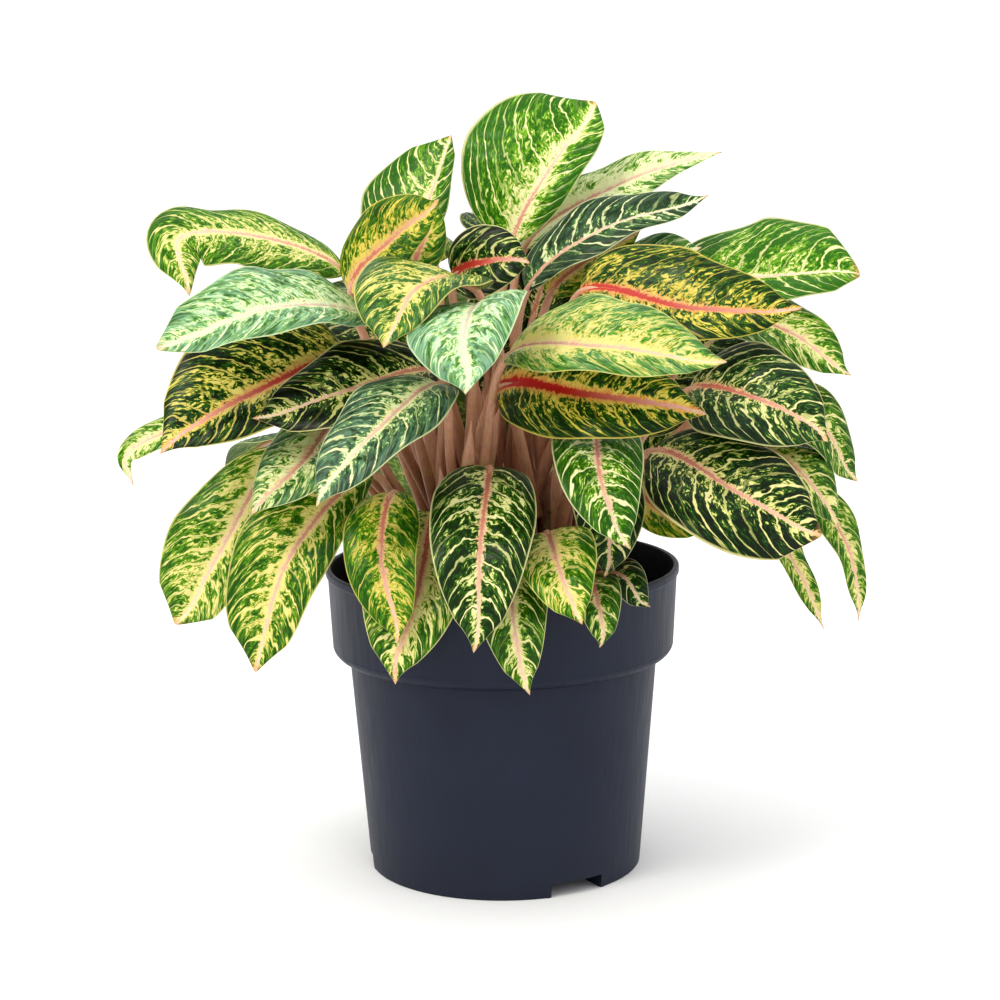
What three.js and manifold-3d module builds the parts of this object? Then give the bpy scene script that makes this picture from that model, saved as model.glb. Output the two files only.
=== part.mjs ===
// Potted aglaonema: a nursery pot, its soil, six canes and the leaves that grow from them.
// Millimetres, +Z up, origin on the pot's axis where the foot stands.
import * as THREE from 'three';
import { mergeVertices } from 'three/addons/utils/BufferGeometryUtils.js';
import Module from 'manifold-3d';

// Pot
const rimRadius = 95;
const potHeight = 165;
const lipHeight = 3.5;
const lipWidth = 1;
const bandHeight = 42;
const bandFootRadius = 92;
const shoulderHeight = 7;
const neckRadius = 81.5;
const footRadius = 73.5;
const edgeRound = 0.8;
const wall = 2;
const floorUnderside = 8;
const floorTop = 10.2;
const notchCount = 3;
const notchWidth = 31;
const notchHeight = 7.5;
const firstNotchAngle = -59;
const webLength = 15;
const webSink = 0.5;
const drainHoleCount = 6;
const drainHoleRadius = 5;
const drainHoleCircle = 46;
const potSides = 72;

// Soil and canes
const soilLevel = 142;
const soilCrown = 4;
const soilSides = 48;
const gap = 0.3;
const caneBottom = 96;
const caneFootRadius = 7;
const caneTopRadius = 5;
const caneSides = 12;

// Petioles
const petioleFoot = 3.2;
const petioleEnd = 2.1;
const petioleFlatness = 0.82;
const petioleBow = 0.02;
const petioleBend = 0.45;
const caneClearance = 0.5;
const petioleSteps = [0, 0.12, 0.35, 0.6, 0.82];

// Blades
const midribDepth = 2.2;
const bladeThickness = 0.9;
const tipHalfWidth = 0.5;
const baseRoundness = 0.55;
const tipSharpness = 0.85;
const bladeDroop = 0.34;
const bladeMiddle = 0.45;
const baseBlend = 0.1;
const petioleRunOn = 0.125;
const bladeSteps = [0, 0.04, 0.12, 0.24, 0.38, 0.53, 0.68, 0.82, 0.93, 1];

// Places round a leaf's section: how far across it, and 1 on the upper face, -1 on the lower, 0 at an edge
const sectionPlaces = [[1, 0], [0.5, 1], [0, 1], [-0.5, 1], [-1, 0], [-0.5, -1], [0, -1], [0.5, -1]];

// Where each cane stands in the soil and where it ends
const canes = {
  front_left: { foot: [-23, -24], top: [-25, -27, 206] },
  front_right: { foot: [25, -22], top: [27, -25, 206] },
  middle: { foot: [0, 3], top: [1, 3, 206] },
  right: { foot: [45, 0], top: [50, -1, 228] },
  back_left: { foot: [-24, 24], top: [-27, 26, 206] },
  back_right: { foot: [23, 24], top: [27, 26, 206] },
};

// Each leaf: where its petiole leaves the cane (degrees round it and height), the blade's width, the
// way its upper face looks, and its midrib's base, middle and tip. A leaf may also have a share of
// its width on the right of the midrib, a fold along the midrib and a twist, both in degrees.
const leaves = {
  front_left: {
    leaf_front_middle: {
      from: [300, 150], width: 53, face: [0, -9, 3],
      blade: [[-6, -65, 228], [-11, -120, 195], [-12, -132, 148]],
    },
    leaf_front_left_low: {
      from: [262, 150], width: 56, face: [-1, -9, 3], right: 0.56,
      blade: [[-34, -52, 202], [-44, -95, 166], [-58, -105, 127]],
    },
    leaf_front_left_streaked: {
      from: [218, 166], width: 40, face: [-2, -9, 3],
      blade: [[-55, -66, 216], [-60, -102, 188], [-50, -112, 149]],
    },
    leaf_left_low: {
      from: [190, 150], width: 50, face: [-3, -9, 1], right: 0.58,
      blade: [[-66, -46, 222], [-106, -80, 189], [-127, -85, 128]],
    },
    leaf_left_pointed: {
      from: [180, 176], width: 46, face: [-3, -7, 5],
      blade: [[-80, -50, 252], [-101, -85, 234], [-126, -100, 213]],
    },
    leaf_left_shadow: {
      from: [228, 180], width: 54, face: [-1, -7, 6],
      blade: [[-33, -48, 274], [-78, -84, 271], [-122, -95, 257]],
    },
    leaf_left_glossy: {
      from: [280, 194], width: 50, face: [-4, -8, 5],
      blade: [[-30, -72, 272], [-61, -118, 256], [-92, -135, 224]],
    },
    leaf_left_silver: {
      from: [190, 198], width: 50, face: [-1, -6, 7], right: 0.6,
      blade: [[-62, -48, 299], [-108, -95, 315], [-166, -118, 297]],
    },
    leaf_right_red_vein: {
      from: [5, 176], width: 52, face: [0, -8, 4],
      blade: [[-1, -54, 267], [44, -98, 270], [101, -110, 263]],
    },
    leaf_right_yellow: {
      from: [312, 180], width: 54, face: [0, -6, 7], right: 0.4,
      blade: [[4, -78, 287], [49, -122, 297], [108, -135, 288]],
    },
    leaf_centre_mint: {
      from: [320, 204], width: 62, face: [-3, -6, 6],
      blade: [[-10, -82, 313], [-17, -131, 303], [-13, -152, 280]],
    },
  },
  front_right: {
    leaf_front_small: {
      from: [225, 148], width: 38, face: [0, -9, 2],
      blade: [[5, -60, 190], [5, -108, 162], [11, -113, 121]],
    },
    leaf_front_right_low: {
      from: [262, 150], width: 42, face: [0, -9, 3],
      blade: [[23, -75, 196], [30, -120, 181], [38, -130, 161]],
    },
    leaf_rim_small: {
      from: [303, 148], width: 26, face: [1, -9, 3],
      blade: [[43, -77, 174], [48, -109, 164], [51, -114, 146]],
    },
    leaf_rim_hooked: {
      from: [345, 148], width: 24, face: [2, -8, 4],
      blade: [[51, -50, 169], [63, -72, 171], [72, -78, 156]],
    },
    leaf_front_right_back: {
      from: [308, 160], width: 38, face: [1, -9, 3],
      blade: [[51, -51, 226], [54, -77, 211], [54, -90, 176]],
    },
    leaf_right_olive: {
      from: [15, 156], width: 30, face: [1, -7, 6],
      blade: [[64, -18, 208], [88, -40, 196], [106, -44, 188]],
    },
    leaf_right_large: {
      from: [338, 174], width: 64, face: [1, -8, 5], right: 0.54,
      blade: [[77, -60, 235], [119, -105, 220], [157, -110, 198]],
    },
    leaf_right_dark: {
      from: [355, 188], width: 60, face: [1, -8, 5],
      blade: [[97, -50, 265], [130, -80, 264], [165, -90, 247]],
    },
    leaf_front_heart: {
      from: [285, 184], width: 46, face: [1, -8, 4],
      blade: [[46, -76, 251], [49, -122, 229], [59, -140, 200]],
    },
    leaf_centre_cupped: {
      from: [200, 196], width: 63, face: [-1, -4, 9], right: 0.6,
      blade: [[-12, -49, 318], [-40, -90, 323], [-56, -116, 297]],
    },
  },
  middle: {
    leaf_upper_left_narrow: {
      from: [180, 172], width: 26, face: [2, -9, 2],
      blade: [[-45, -12, 321], [-39, -5, 341], [-33, 5, 359]],
    },
    leaf_upper_right_olive: {
      from: [15, 176], width: 34, face: [-2, -7, 6],
      blade: [[27, 15, 307], [46, 15, 325], [76, 12, 341]],
    },
    leaf_back_11: {
      from: [100, 170], width: 50, face: [0, 5, 8],
      blade: [[-10, 55, 300], [-15, 100, 305], [-20, 135, 280]],
    },
    leaf_upper_right_dark: {
      from: [330, 182], width: 38, face: [-3, -6, 7], right: 0.42,
      blade: [[15, 0, 312], [53, -5, 343], [111, -5, 359]],
    },
    leaf_top_dark: {
      from: [240, 186], width: 42, face: [-1, -8, 4],
      blade: [[-23, -25, 322], [-4, -35, 331], [16, -40, 332]],
    },
    leaf_upper_right_pale: {
      from: [55, 178], width: 44, face: [-3, -6, 7],
      blade: [[14, 40, 330], [66, 45, 364], [121, 40, 382]],
    },
    leaf_top: {
      from: [150, 194], width: 68, face: [-3, -9, 2], right: 0.27,
      blade: [[7, 20, 335], [27, 22, 373], [56, 45, 407]],
    },
  },
  right: {
    leaf_right_far_middle: {
      from: [300, 208], width: 40, face: [3, -6, 6],
      blade: [[127, -37, 234], [151, -63, 225], [173, -68, 197]],
    },
    leaf_right_far_behind: {
      from: [350, 204], width: 40, face: [3, -6, 6],
      blade: [[125, -28, 260], [164, -46, 246], [183, -43, 213]],
    },
    leaf_right_far_thin: {
      from: [35, 184], width: 28, face: [5, -7, 4],
      blade: [[160, 14, 206], [185, 2, 173], [194, -2, 132]],
    },
    leaf_right_far_low: {
      from: [350, 184], width: 26, face: [5, -7, 3],
      blade: [[131, 0, 200], [157, -15, 163], [171, -20, 131]],
    },
    leaf_right_upper_back: {
      from: [355, 216], width: 44, face: [2, -6, 7],
      blade: [[116, -10, 297], [151, -30, 291], [180, -40, 269]],
    },
    leaf_right_bright: {
      from: [30, 222], width: 60, face: [-1, -6, 7], right: 0.35,
      blade: [[90, 5, 314], [140, -5, 318], [189, -10, 322]],
    },
  },
  back_left: {
    leaf_back_1: {
      from: [120, 150], width: 46, face: [-4, 8, 3],
      blade: [[-40, 55, 195], [-62, 92, 190], [-75, 118, 150]],
    },
    leaf_back_2: {
      from: [180, 150], width: 46, face: [-5, 3, 7],
      blade: [[-95, 20, 230], [-130, 45, 225], [-155, 65, 195]],
    },
    leaf_left_hanging: {
      from: [225, 150], width: 58, face: [-2, -9, 2], right: 0.6,
      blade: [[-110, -35, 234], [-144, -58, 187], [-168, -50, 143]],
    },
    leaf_back_4: {
      from: [90, 165], width: 52, face: [-3, 7, 6],
      blade: [[-30, 60, 240], [-45, 105, 235], [-55, 140, 200]],
    },
    leaf_left_far_low: {
      from: [200, 165], width: 28, face: [-1, -6, 7],
      blade: [[-106, -10, 251], [-168, -36, 246], [-194, -42, 232], [-189, -46, 219]],
    },
    leaf_back_3: {
      from: [150, 165], width: 50, face: [-4, 4, 7],
      blade: [[-70, 40, 250], [-100, 80, 250], [-115, 115, 225]],
    },
    leaf_left_red_vein: {
      from: [240, 180], width: 70, face: [-3, -9, 4], right: 0.64,
      blade: [[-77, -45, 281], [-126, -78, 269], [-171, -95, 245]],
    },
    leaf_back_5: {
      from: [130, 178], width: 50, face: [-4, 4, 8],
      blade: [[-50, 45, 300], [-85, 75, 305], [-110, 105, 285]],
    },
    leaf_upper_left_facing: {
      from: [210, 190], width: 44, face: [-4, -8, 3],
      blade: [[-78, -6, 313], [-54, -30, 343], [-29, -58, 362]],
    },
    leaf_top_behind: {
      from: [85, 196], width: 52, face: [-4, -8, 2], right: 0.25,
      blade: [[-49, 38, 321], [-38, 48, 354], [-25, 62, 391]],
    },
    leaf_left_upper: {
      from: [165, 196], width: 48, face: [0, -6, 7], fold: 12, twist: -50,
      blade: [[-81, 15, 334], [-136, -5, 340], [-173, -30, 337], [-160, -50, 320]],
    },
  },
  back_right: {
    leaf_back_6: {
      from: [115, 150], width: 48, face: [0, 9, 3],
      blade: [[5, 60, 195], [5, 102, 188], [0, 125, 140]],
    },
    leaf_back_7: {
      from: [70, 150], width: 46, face: [5, 7, 3],
      blade: [[38, 55, 190], [58, 92, 184], [70, 120, 146]],
    },
    leaf_back_8: {
      from: [30, 165], width: 50, face: [4, 4, 7],
      blade: [[60, 50, 240], [85, 95, 240], [100, 130, 215]],
    },
    leaf_back_9: {
      from: [95, 168], width: 52, face: [1, 7, 6],
      blade: [[20, 65, 235], [25, 115, 225], [30, 150, 185]],
    },
    leaf_right_upper: {
      from: [280, 180], width: 54, face: [0, -8, 5], right: 0.42,
      blade: [[42, -25, 313], [97, -58, 308], [152, -70, 306]],
    },
    leaf_back_10: {
      from: [55, 188], width: 50, face: [4, 4, 8],
      blade: [[45, 45, 300], [75, 85, 305], [95, 120, 285]],
    },
    leaf_right_mint_back: {
      from: [325, 190], width: 36, face: [0, -6, 7],
      blade: [[58, 5, 314], [78, 0, 326], [106, -10, 333]],
    },
  },
};

const wasm = await Module();
wasm.setup();

const materials = {
  pot: new THREE.MeshStandardMaterial({ color: '#3a3d48', roughness: 0.5, metalness: 0 }),
  soil: new THREE.MeshStandardMaterial({ color: '#2b211a', roughness: 1, metalness: 0 }),
  cane: new THREE.MeshStandardMaterial({ color: '#8a7a4c', roughness: 0.7, metalness: 0 }),
  leaf: new THREE.MeshStandardMaterial({ color: '#5d8a3a', roughness: 0.4, metalness: 0 }),
};

function solidOf(geometry) {
  const bare = geometry.clone();
  bare.deleteAttribute('normal');
  bare.deleteAttribute('uv');
  const merged = mergeVertices(bare, 1e-4);
  return new wasm.Manifold(new wasm.Mesh({
    numProp: 3,
    vertProperties: new Float32Array(merged.attributes.position.array),
    triVerts: new Uint32Array(merged.index.array),
  }));
}

function geometryOf(solid) {
  const mesh = solid.getMesh();
  const geometry = new THREE.BufferGeometry();
  geometry.setAttribute('position', new THREE.BufferAttribute(mesh.vertProperties, 3));
  geometry.setIndex(new THREE.BufferAttribute(mesh.triVerts, 1));
  geometry.computeVertexNormals();
  return geometry;
}

function upright(geometry) {
  return geometry.rotateX(Math.PI / 2);
}

function lathe(profile, sides) {
  const points = profile.map(([radius, height]) => new THREE.Vector2(radius, height));
  return upright(new THREE.LatheGeometry(points, sides));
}

function named(name, geometry, material) {
  const mesh = new THREE.Mesh(geometry, material);
  mesh.name = name;
  return mesh;
}

// The body's outer radius at a height under the band
function bodyRadius(height) {
  const bodyTop = potHeight - bandHeight - shoulderHeight;
  return footRadius + (neckRadius - footRadius) * height / bodyTop;
}

// A quarter turn that leaves one profile point outwards and reaches the next one upwards
function shoulder([radius, height], [endRadius, endHeight]) {
  return [0, 30, 60, 90].map((degrees) => {
    const angle = THREE.MathUtils.degToRad(degrees);
    return [
      radius + (endRadius - radius) * Math.sin(angle),
      height + (endHeight - height) * (1 - Math.cos(angle)),
    ];
  });
}

// Foot notches, each with a web on both sides that runs in under the floor
function makeNotches() {
  const webs = [];
  const cuts = [];
  const webHeight = floorUnderside + webSink;
  for (let i = 0; i < notchCount; i++) {
    const angle = THREE.MathUtils.degToRad(firstNotchAngle + i * 360 / notchCount);
    const cut = new THREE.BoxGeometry(webLength + wall * 5, notchWidth, notchHeight * 2);
    cut.translate(footRadius, 0, 0);
    cuts.push(cut.rotateZ(angle));
    for (const side of [-1, 1]) {
      const web = new THREE.BoxGeometry(webLength, wall, webHeight);
      web.translate(footRadius - wall - webLength / 2, side * (notchWidth + wall) / 2, webHeight / 2);
      webs.push(web.rotateZ(angle));
    }
  }
  return { webs, cuts };
}

function makeDrainHoles() {
  const holes = [];
  for (let i = 0; i < drainHoleCount; i++) {
    const angle = i * 2 * Math.PI / drainHoleCount;
    const length = (floorTop - floorUnderside) * 4;
    const hole = upright(new THREE.CylinderGeometry(drainHoleRadius, drainHoleRadius, length, 16));
    hole.translate(drainHoleCircle * Math.cos(angle), drainHoleCircle * Math.sin(angle), floorTop);
    holes.push(hole);
  }
  return holes;
}

// Pot: one moulded shell with a stepped rim band, a raised floor and a foot ring
function makePot() {
  const bandFoot = potHeight - bandHeight;
  const neck = bandFoot - shoulderHeight;
  const innerRim = rimRadius - lipWidth - wall;
  const profile = [
    [footRadius - edgeRound, 0],
    [footRadius, edgeRound],
    ...shoulder([neckRadius, neck], [bandFootRadius, bandFoot]),
    [rimRadius - lipWidth, potHeight - lipHeight - lipWidth],
    [rimRadius, potHeight - lipHeight],
    [rimRadius, potHeight - edgeRound],
    [rimRadius - edgeRound, potHeight],
    [innerRim + edgeRound, potHeight],
    [innerRim, potHeight - edgeRound],
    [bandFootRadius - wall, bandFoot + wall],
    [neckRadius - wall, neck + wall / 2],
    [bodyRadius(floorTop) - wall, floorTop],
    [0, floorTop],
    [0, floorUnderside],
    [footRadius - wall - edgeRound, floorUnderside],
    [footRadius - wall - edgeRound, 0],
    [footRadius - edgeRound, 0],
  ];
  let pot = solidOf(lathe(profile, potSides));
  const { webs, cuts } = makeNotches();
  for (const web of webs) pot = pot.add(solidOf(web));
  for (const cut of [...cuts, ...makeDrainHoles()]) pot = pot.subtract(solidOf(cut));
  return named('pot', geometryOf(pot), materials.pot);
}

// A cane: a slightly leaning rod, buried in the soil at its foot
function caneGeometry({ foot, top }, extra = 0) {
  const start = new THREE.Vector3(...foot, caneBottom);
  const end = new THREE.Vector3(...top);
  const length = start.distanceTo(end) + 2 * extra;
  const radii = [caneTopRadius + extra, caneFootRadius + extra];
  const rod = new THREE.CylinderGeometry(...radii, length, caneSides, 4);
  const lean = end.clone().sub(start).normalize();
  rod.applyQuaternion(new THREE.Quaternion().setFromUnitVectors(new THREE.Vector3(0, 1, 0), lean));
  const middle = start.add(end).multiplyScalar(0.5);
  return rod.translate(middle.x, middle.y, middle.z);
}

// Soil: fills the pot to below its rim, a little higher at the middle, with the canes standing in it
function makeSoil() {
  const neck = potHeight - bandHeight - shoulderHeight;
  const inset = wall + gap;
  const edge = bandFootRadius - inset;
  const profile = [
    [0, floorTop + gap],
    [bodyRadius(floorTop) - inset, floorTop + gap],
    [neckRadius - inset, neck + wall / 2],
    [edge, potHeight - bandHeight + wall],
    [edge, soilLevel - 1],
    [edge - 3, soilLevel],
    [edge * 0.67, soilLevel + soilCrown * 0.4],
    [edge * 0.33, soilLevel + soilCrown * 0.85],
    [0, soilLevel + soilCrown],
  ];
  let soil = solidOf(lathe(profile, soilSides));
  for (const cane of Object.values(canes)) soil = soil.subtract(solidOf(caneGeometry(cane, gap)));
  return named('soil', geometryOf(soil), materials.soil);
}

// The middle and the radius of a cane at a height
function caneAt({ foot, top }, height) {
  const share = (height - caneBottom) / (top[2] - caneBottom);
  const x = THREE.MathUtils.lerp(foot[0], top[0], share);
  const y = THREE.MathUtils.lerp(foot[1], top[1], share);
  const radius = THREE.MathUtils.lerp(caneFootRadius, caneTopRadius, share);
  return { middle: new THREE.Vector3(x, y, height), radius };
}

// The whole way of a leaf: up its petiole from the cane, then along its blade's midrib to the tip
function leafRoute(cane, [degrees, height], blade) {
  const angle = THREE.MathUtils.degToRad(degrees);
  const { middle, radius } = caneAt(cane, height);
  const out = new THREE.Vector3(Math.cos(angle), Math.sin(angle), 0);
  const start = middle.addScaledVector(out, radius + petioleFoot + caneClearance);
  const way = new THREE.Vector3(...blade[0]).sub(start);
  const rise = new THREE.Vector3(0, 0, 1).projectOnPlane(way.clone().normalize()).normalize();
  const bend = start.clone().addScaledVector(way, petioleBend);
  bend.addScaledVector(rise, way.length() * petioleBow);
  const midrib = blade.map((point) => new THREE.Vector3(...point));
  const curve = new THREE.CatmullRomCurve3([start, bend, ...midrib], false, 'centripetal');
  const spans = midrib.length + 1;
  curve.arcLengthDivisions = spans * 80;
  const lengths = curve.getLengths();
  return { curve, petioleShare: lengths[2 * 80] / lengths[spans * 80] };
}

// Stations along the way; the direction across the leaf is set at mid-blade and carried both ways
function leafStations({ curve, petioleShare }, face, twist) {
  const shares = [
    ...petioleSteps.map((step) => [step * petioleShare, -1]),
    ...bladeSteps.map((step) => [petioleShare + step * (1 - petioleShare), step]),
  ];
  const stations = shares.map(([share, blade]) => (
    { share, blade, point: curve.getPointAt(share), along: curve.getTangentAt(share) }));
  const middle = stations.findIndex((station) => station.blade > bladeMiddle);
  const upper = new THREE.Vector3(...face);
  stations[middle].across = stations[middle].along.clone().cross(upper).normalize();
  const carry = (from, to) => {
    to.across = from.across.clone().projectOnPlane(to.along).normalize();
  };
  for (let i = middle; i > 0; i--) carry(stations[i], stations[i - 1]);
  for (let i = middle; i < stations.length - 1; i++) carry(stations[i], stations[i + 1]);
  for (const { blade, along, across } of stations) {
    across.applyAxisAngle(along, THREE.MathUtils.degToRad(twist) * Math.max(0, blade - bladeMiddle));
  }
  return stations;
}

function bladeHalfWidth(share, width) {
  const widest = baseRoundness / (baseRoundness + tipSharpness);
  const full = Math.pow(widest, baseRoundness) * Math.pow(1 - widest, tipSharpness);
  return width / 2 * Math.pow(share, baseRoundness) * Math.pow(1 - share, tipSharpness) / full;
}

// The points round a leaf's section at a station: round on the petiole, a folded strip on the blade
function leafSection({ share, blade, point, along, across }, petioleShare, { width, right, fold }) {
  const { lerp, degToRad } = THREE.MathUtils;
  const onBlade = Math.max(0, blade);
  const normal = across.clone().cross(along);
  const petiole = lerp(petioleFoot, petioleEnd, Math.min(1, share / petioleShare));
  const runOn = petiole * (1 - onBlade / petioleRunOn);
  const half = blade < 0 ? petiole : Math.max(tipHalfWidth, runOn, bladeHalfWidth(blade, width));
  const round = Math.max(0, 1 - onBlade / baseBlend);
  const slope = Math.tan(degToRad(fold));
  const midrib = lerp(midribDepth, bladeThickness, onBlade) / 2;
  return sectionPlaces.map(([spread, level], k) => {
    const angle = k * 2 * Math.PI / sectionPlaces.length;
    const reach = Math.abs(spread);
    const part = spread > 0 ? right * 2 : (1 - right) * 2;
    const thickness = reach === 0 ? midrib : bladeThickness / 2;
    const bladeUp = half * (slope * reach - bladeDroop * reach * reach) + level * thickness;
    const petioleUp = petiole * petioleFlatness * Math.sin(angle);
    return point.clone()
      .addScaledVector(across, lerp(half * spread * part, petiole * Math.cos(angle), round))
      .addScaledVector(normal, lerp(bladeUp, petioleUp, round));
  });
}

// Leaf: one closed skin over its sections, from the petiole's foot to the blade's tip
function makeLeaf(name, cane, { from, blade, width, face, right = 0.5, fold = 24, twist = 0 }) {
  const route = leafRoute(cane, from, blade);
  const stations = leafStations(route, face, twist);
  const sections = stations.map((station) => (
    leafSection(station, route.petioleShare, { width, right, fold })));
  const around = sectionPlaces.length;
  const index = [];
  for (let i = 0; i < sections.length - 1; i++) {
    for (let k = 0; k < around; k++) {
      const a = i * around + k;
      const b = i * around + (k + 1) % around;
      index.push(a, a + around, b, b, a + around, b + around);
    }
  }
  const last = (sections.length - 1) * around;
  for (let k = 1; k < around - 1; k++) {
    index.push(0, k, k + 1);
    index.push(last, last + k + 1, last + k);
  }
  const geometry = new THREE.BufferGeometry();
  const positions = sections.flat().flatMap((point) => point.toArray());
  geometry.setAttribute('position', new THREE.Float32BufferAttribute(positions, 3));
  geometry.setIndex(index);
  return named(name, geometryOf(solidOf(geometry)), materials.leaf);
}

const plant = new THREE.Group();
plant.add(makePot());
plant.add(makeSoil());
for (const [place, cane] of Object.entries(canes)) {
  plant.add(named(`cane_${place}`, caneGeometry(cane), materials.cane));
  for (const [name, leaf] of Object.entries(leaves[place])) {
    plant.add(makeLeaf(name, cane, leaf));
  }
}

export default plant;
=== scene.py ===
"""Potted aglaonema in soft studio light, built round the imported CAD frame. Metres, +Z up."""
import math

import bmesh
import bpy
import numpy as np
from mathutils import Matrix, Vector


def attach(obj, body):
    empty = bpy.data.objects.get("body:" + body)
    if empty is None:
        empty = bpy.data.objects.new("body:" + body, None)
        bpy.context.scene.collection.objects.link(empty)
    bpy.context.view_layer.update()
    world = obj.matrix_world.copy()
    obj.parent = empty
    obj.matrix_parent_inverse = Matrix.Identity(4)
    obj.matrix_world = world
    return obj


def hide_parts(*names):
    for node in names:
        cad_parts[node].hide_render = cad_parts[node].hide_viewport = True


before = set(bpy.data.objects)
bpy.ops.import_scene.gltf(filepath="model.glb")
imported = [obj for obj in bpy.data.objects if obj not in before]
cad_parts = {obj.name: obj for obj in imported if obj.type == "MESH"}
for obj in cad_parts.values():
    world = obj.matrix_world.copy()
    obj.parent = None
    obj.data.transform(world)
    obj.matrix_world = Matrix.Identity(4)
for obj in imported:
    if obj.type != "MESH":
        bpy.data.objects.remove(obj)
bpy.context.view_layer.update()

MM = 0.001
BODY = "root"

# RANGE takes a value, the range it comes from and the range it goes to
NOISE, RANGE = "ShaderNodeTexNoise", "ShaderNodeMapRange"
JOIN, SPLIT = "ShaderNodeCombineXYZ", "ShaderNodeSeparateXYZ"
PRESETS = {
    "BLEND": ("ShaderNodeMix", {"data_type": "RGBA"}),
    "BETWEEN": ("ShaderNodeMix", {"data_type": "FLOAT"}),
    "VECTOR_ADD": ("ShaderNodeVectorMath", {"operation": "ADD"}),
    "VECTOR_SUBTRACT": ("ShaderNodeVectorMath", {"operation": "SUBTRACT"}),
    "VECTOR_SCALE": ("ShaderNodeVectorMath", {"operation": "SCALE"}),
    "VECTOR_LENGTH": ("ShaderNodeVectorMath", {"operation": "LENGTH"}),
    "READ_NUMBER": ("GeometryNodeInputNamedAttribute", {"data_type": "FLOAT"}),
    "READ_VECTOR": ("GeometryNodeInputNamedAttribute", {"data_type": "FLOAT_VECTOR"}),
    "STORE_VECTOR": ("GeometryNodeStoreNamedAttribute", {"data_type": "FLOAT_VECTOR"}),
}

CAMERA_PLACE, CAMERA_PITCH, CAMERA_ROLL = (-0.0008, -1.376, 0.4562), 0.1844, 0.0119
CAMERA_LENS, CAMERA_SENSOR = 93.96, 36.0
WORLD_STRENGTH, FLOOR_REACH, LIGHT_AIM = 1.0, 4.0, (0, 0, 0.22)
# Each soft box: place in metres, side in metres, watts and colour
LIGHTS = {
    "key_box_upper_left": ((-0.9, -1.0, 1.6), 0.6, 13, "#fffaf2"),
    "fill_box_right": ((1.6, -0.9, 0.9), 1.4, 2.5, "#f4f8ff"),
    "top_box": ((0.1, 0.3, 1.9), 1.4, 4, "#ffffff"),
}

# Pot and soil, in millimetres and degrees
RIM_RADIUS, POT_HEIGHT, LIP_HEIGHT, LIP_WIDTH = 95, 165, 3.5, 1
BAND_HEIGHT, BAND_FOOT_RADIUS, SHOULDER_HEIGHT, NECK_RADIUS = 42, 92, 7, 83
FOOT_RADIUS, FOOT_ROUNDING, WALL, FLOOR_UNDERSIDE, FLOOR_TOP = 73.5, 0.8, 2, 8, 10.2
NOTCH_COUNT, NOTCH_WIDTH, NOTCH_HEIGHT, FIRST_NOTCH_ANGLE, WEB_LENGTH = 3, 31, 7.5, -59, 15
DRAIN_HOLE_COUNT, DRAIN_HOLE_RADIUS, DRAIN_HOLE_CIRCLE = 6, 5, 46
POT_SIDES, SOIL_SIDES, SHARP_EDGE = 192, 140, 35
SOIL_LEVEL, SOIL_CROWN, SOIL_ROUGHNESS, GAP = 146, 3, 7.0, 0.3
# What lies on the soil: pieces per square metre, smallest and largest half sizes in mm, and a seed
SOIL_BITS = {
    "crumbs": (30000, (0.9, 0.8, 0.6), (2.4, 2.1, 1.5), 3),
    "bark_chips": (7000, (2.2, 1.4, 0.6), (5.0, 3.0, 1.2), 5),
    "twigs": (2500, (5.0, 0.5, 0.5), (10.0, 0.9, 0.8), 8),
}

# Canes, stalks and blades, in millimetres and degrees, or as shares of a length
CANE_BOTTOM, CANE_FOOT_RADIUS, CANE_TOP_RADIUS, CANE_CLEARANCE = 96, 7, 5, 0.5
CANE_SIDES, SCAR_SPACING, RING_SPACING, RING_HEIGHT = 24, 9, 7.0, 0.9
PETIOLE_FOOT, PETIOLE_END, PETIOLE_BOW, PETIOLE_BEND, STALK_SIDES = 3.2, 2.1, 0.02, 0.45, 12
RIDGE_SHARE, RIDGE_END, RIDGE_SINK = 0.85, 0.12, 0.8
BASE_ROUNDNESS, TIP_SHARPNESS, BLADE_FOLD, BLADE_DROOP, BLADE_MIDDLE = 0.55, 0.85, 24, 0.34, 0.53
BLADE_THICKNESS, QUILTING_HEIGHT, WAVE_HEIGHT, WAVE_LENGTH, TIP_HOOK = 0.55, 0.5, 1.8, 46, 4.0
VEIN_SPACING, VEIN_SWAY, SIDE_STAGGER = 9.0, 11.0, 0.23
SPAN_SAMPLES, STALK_STATIONS, BLADE_STATIONS = 80, 26, 70
CELLS_ALONG, CELLS_ACROSS = 92, 24
SPEAR_COUNT, SPEAR_SEED, SPEAR_SIDES, SPEAR_STATIONS = 42, 11, 10, 26
SPEAR_LEAN, SPEAR_START, SPEAR_RISE, SPEAR_BOW = (8, 34), (9, 15), (70, 135), (4.0, 6.0)

# Each cane: its foot in the soil and its top
CANES = {
    "front_left": ((-23, -24), (-25, -27, 206)),
    "front_right": ((25, -22), (27, -25, 206)),
    "middle": ((0, 3), (1, 3, 206)),
    "right": ((45, 0), (50, -1, 228)),
    "back_left": ((-24, 24), (-27, 26, 206)),
    "back_right": ((23, 24), (27, 26, 206)),
}


def leaf(root, width, face, tone, *blade, **shape):
    """Where the stalk leaves the cane (degrees and height), the blade's width, the way its upper face
    looks, its tone, and its midrib's base, middle and tip. The tone says how far the pale centre spreads,
    how dark the green is, how yellow the cream is, how red the midrib is, how strong a painted silvery
    sheen over the whole blade is, how many millimetres of pale centre flank the midrib, and how strongly
    the veins show."""
    return dict(root=root, width=width, face=face, tone=tone, blade=blade, **shape)


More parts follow.
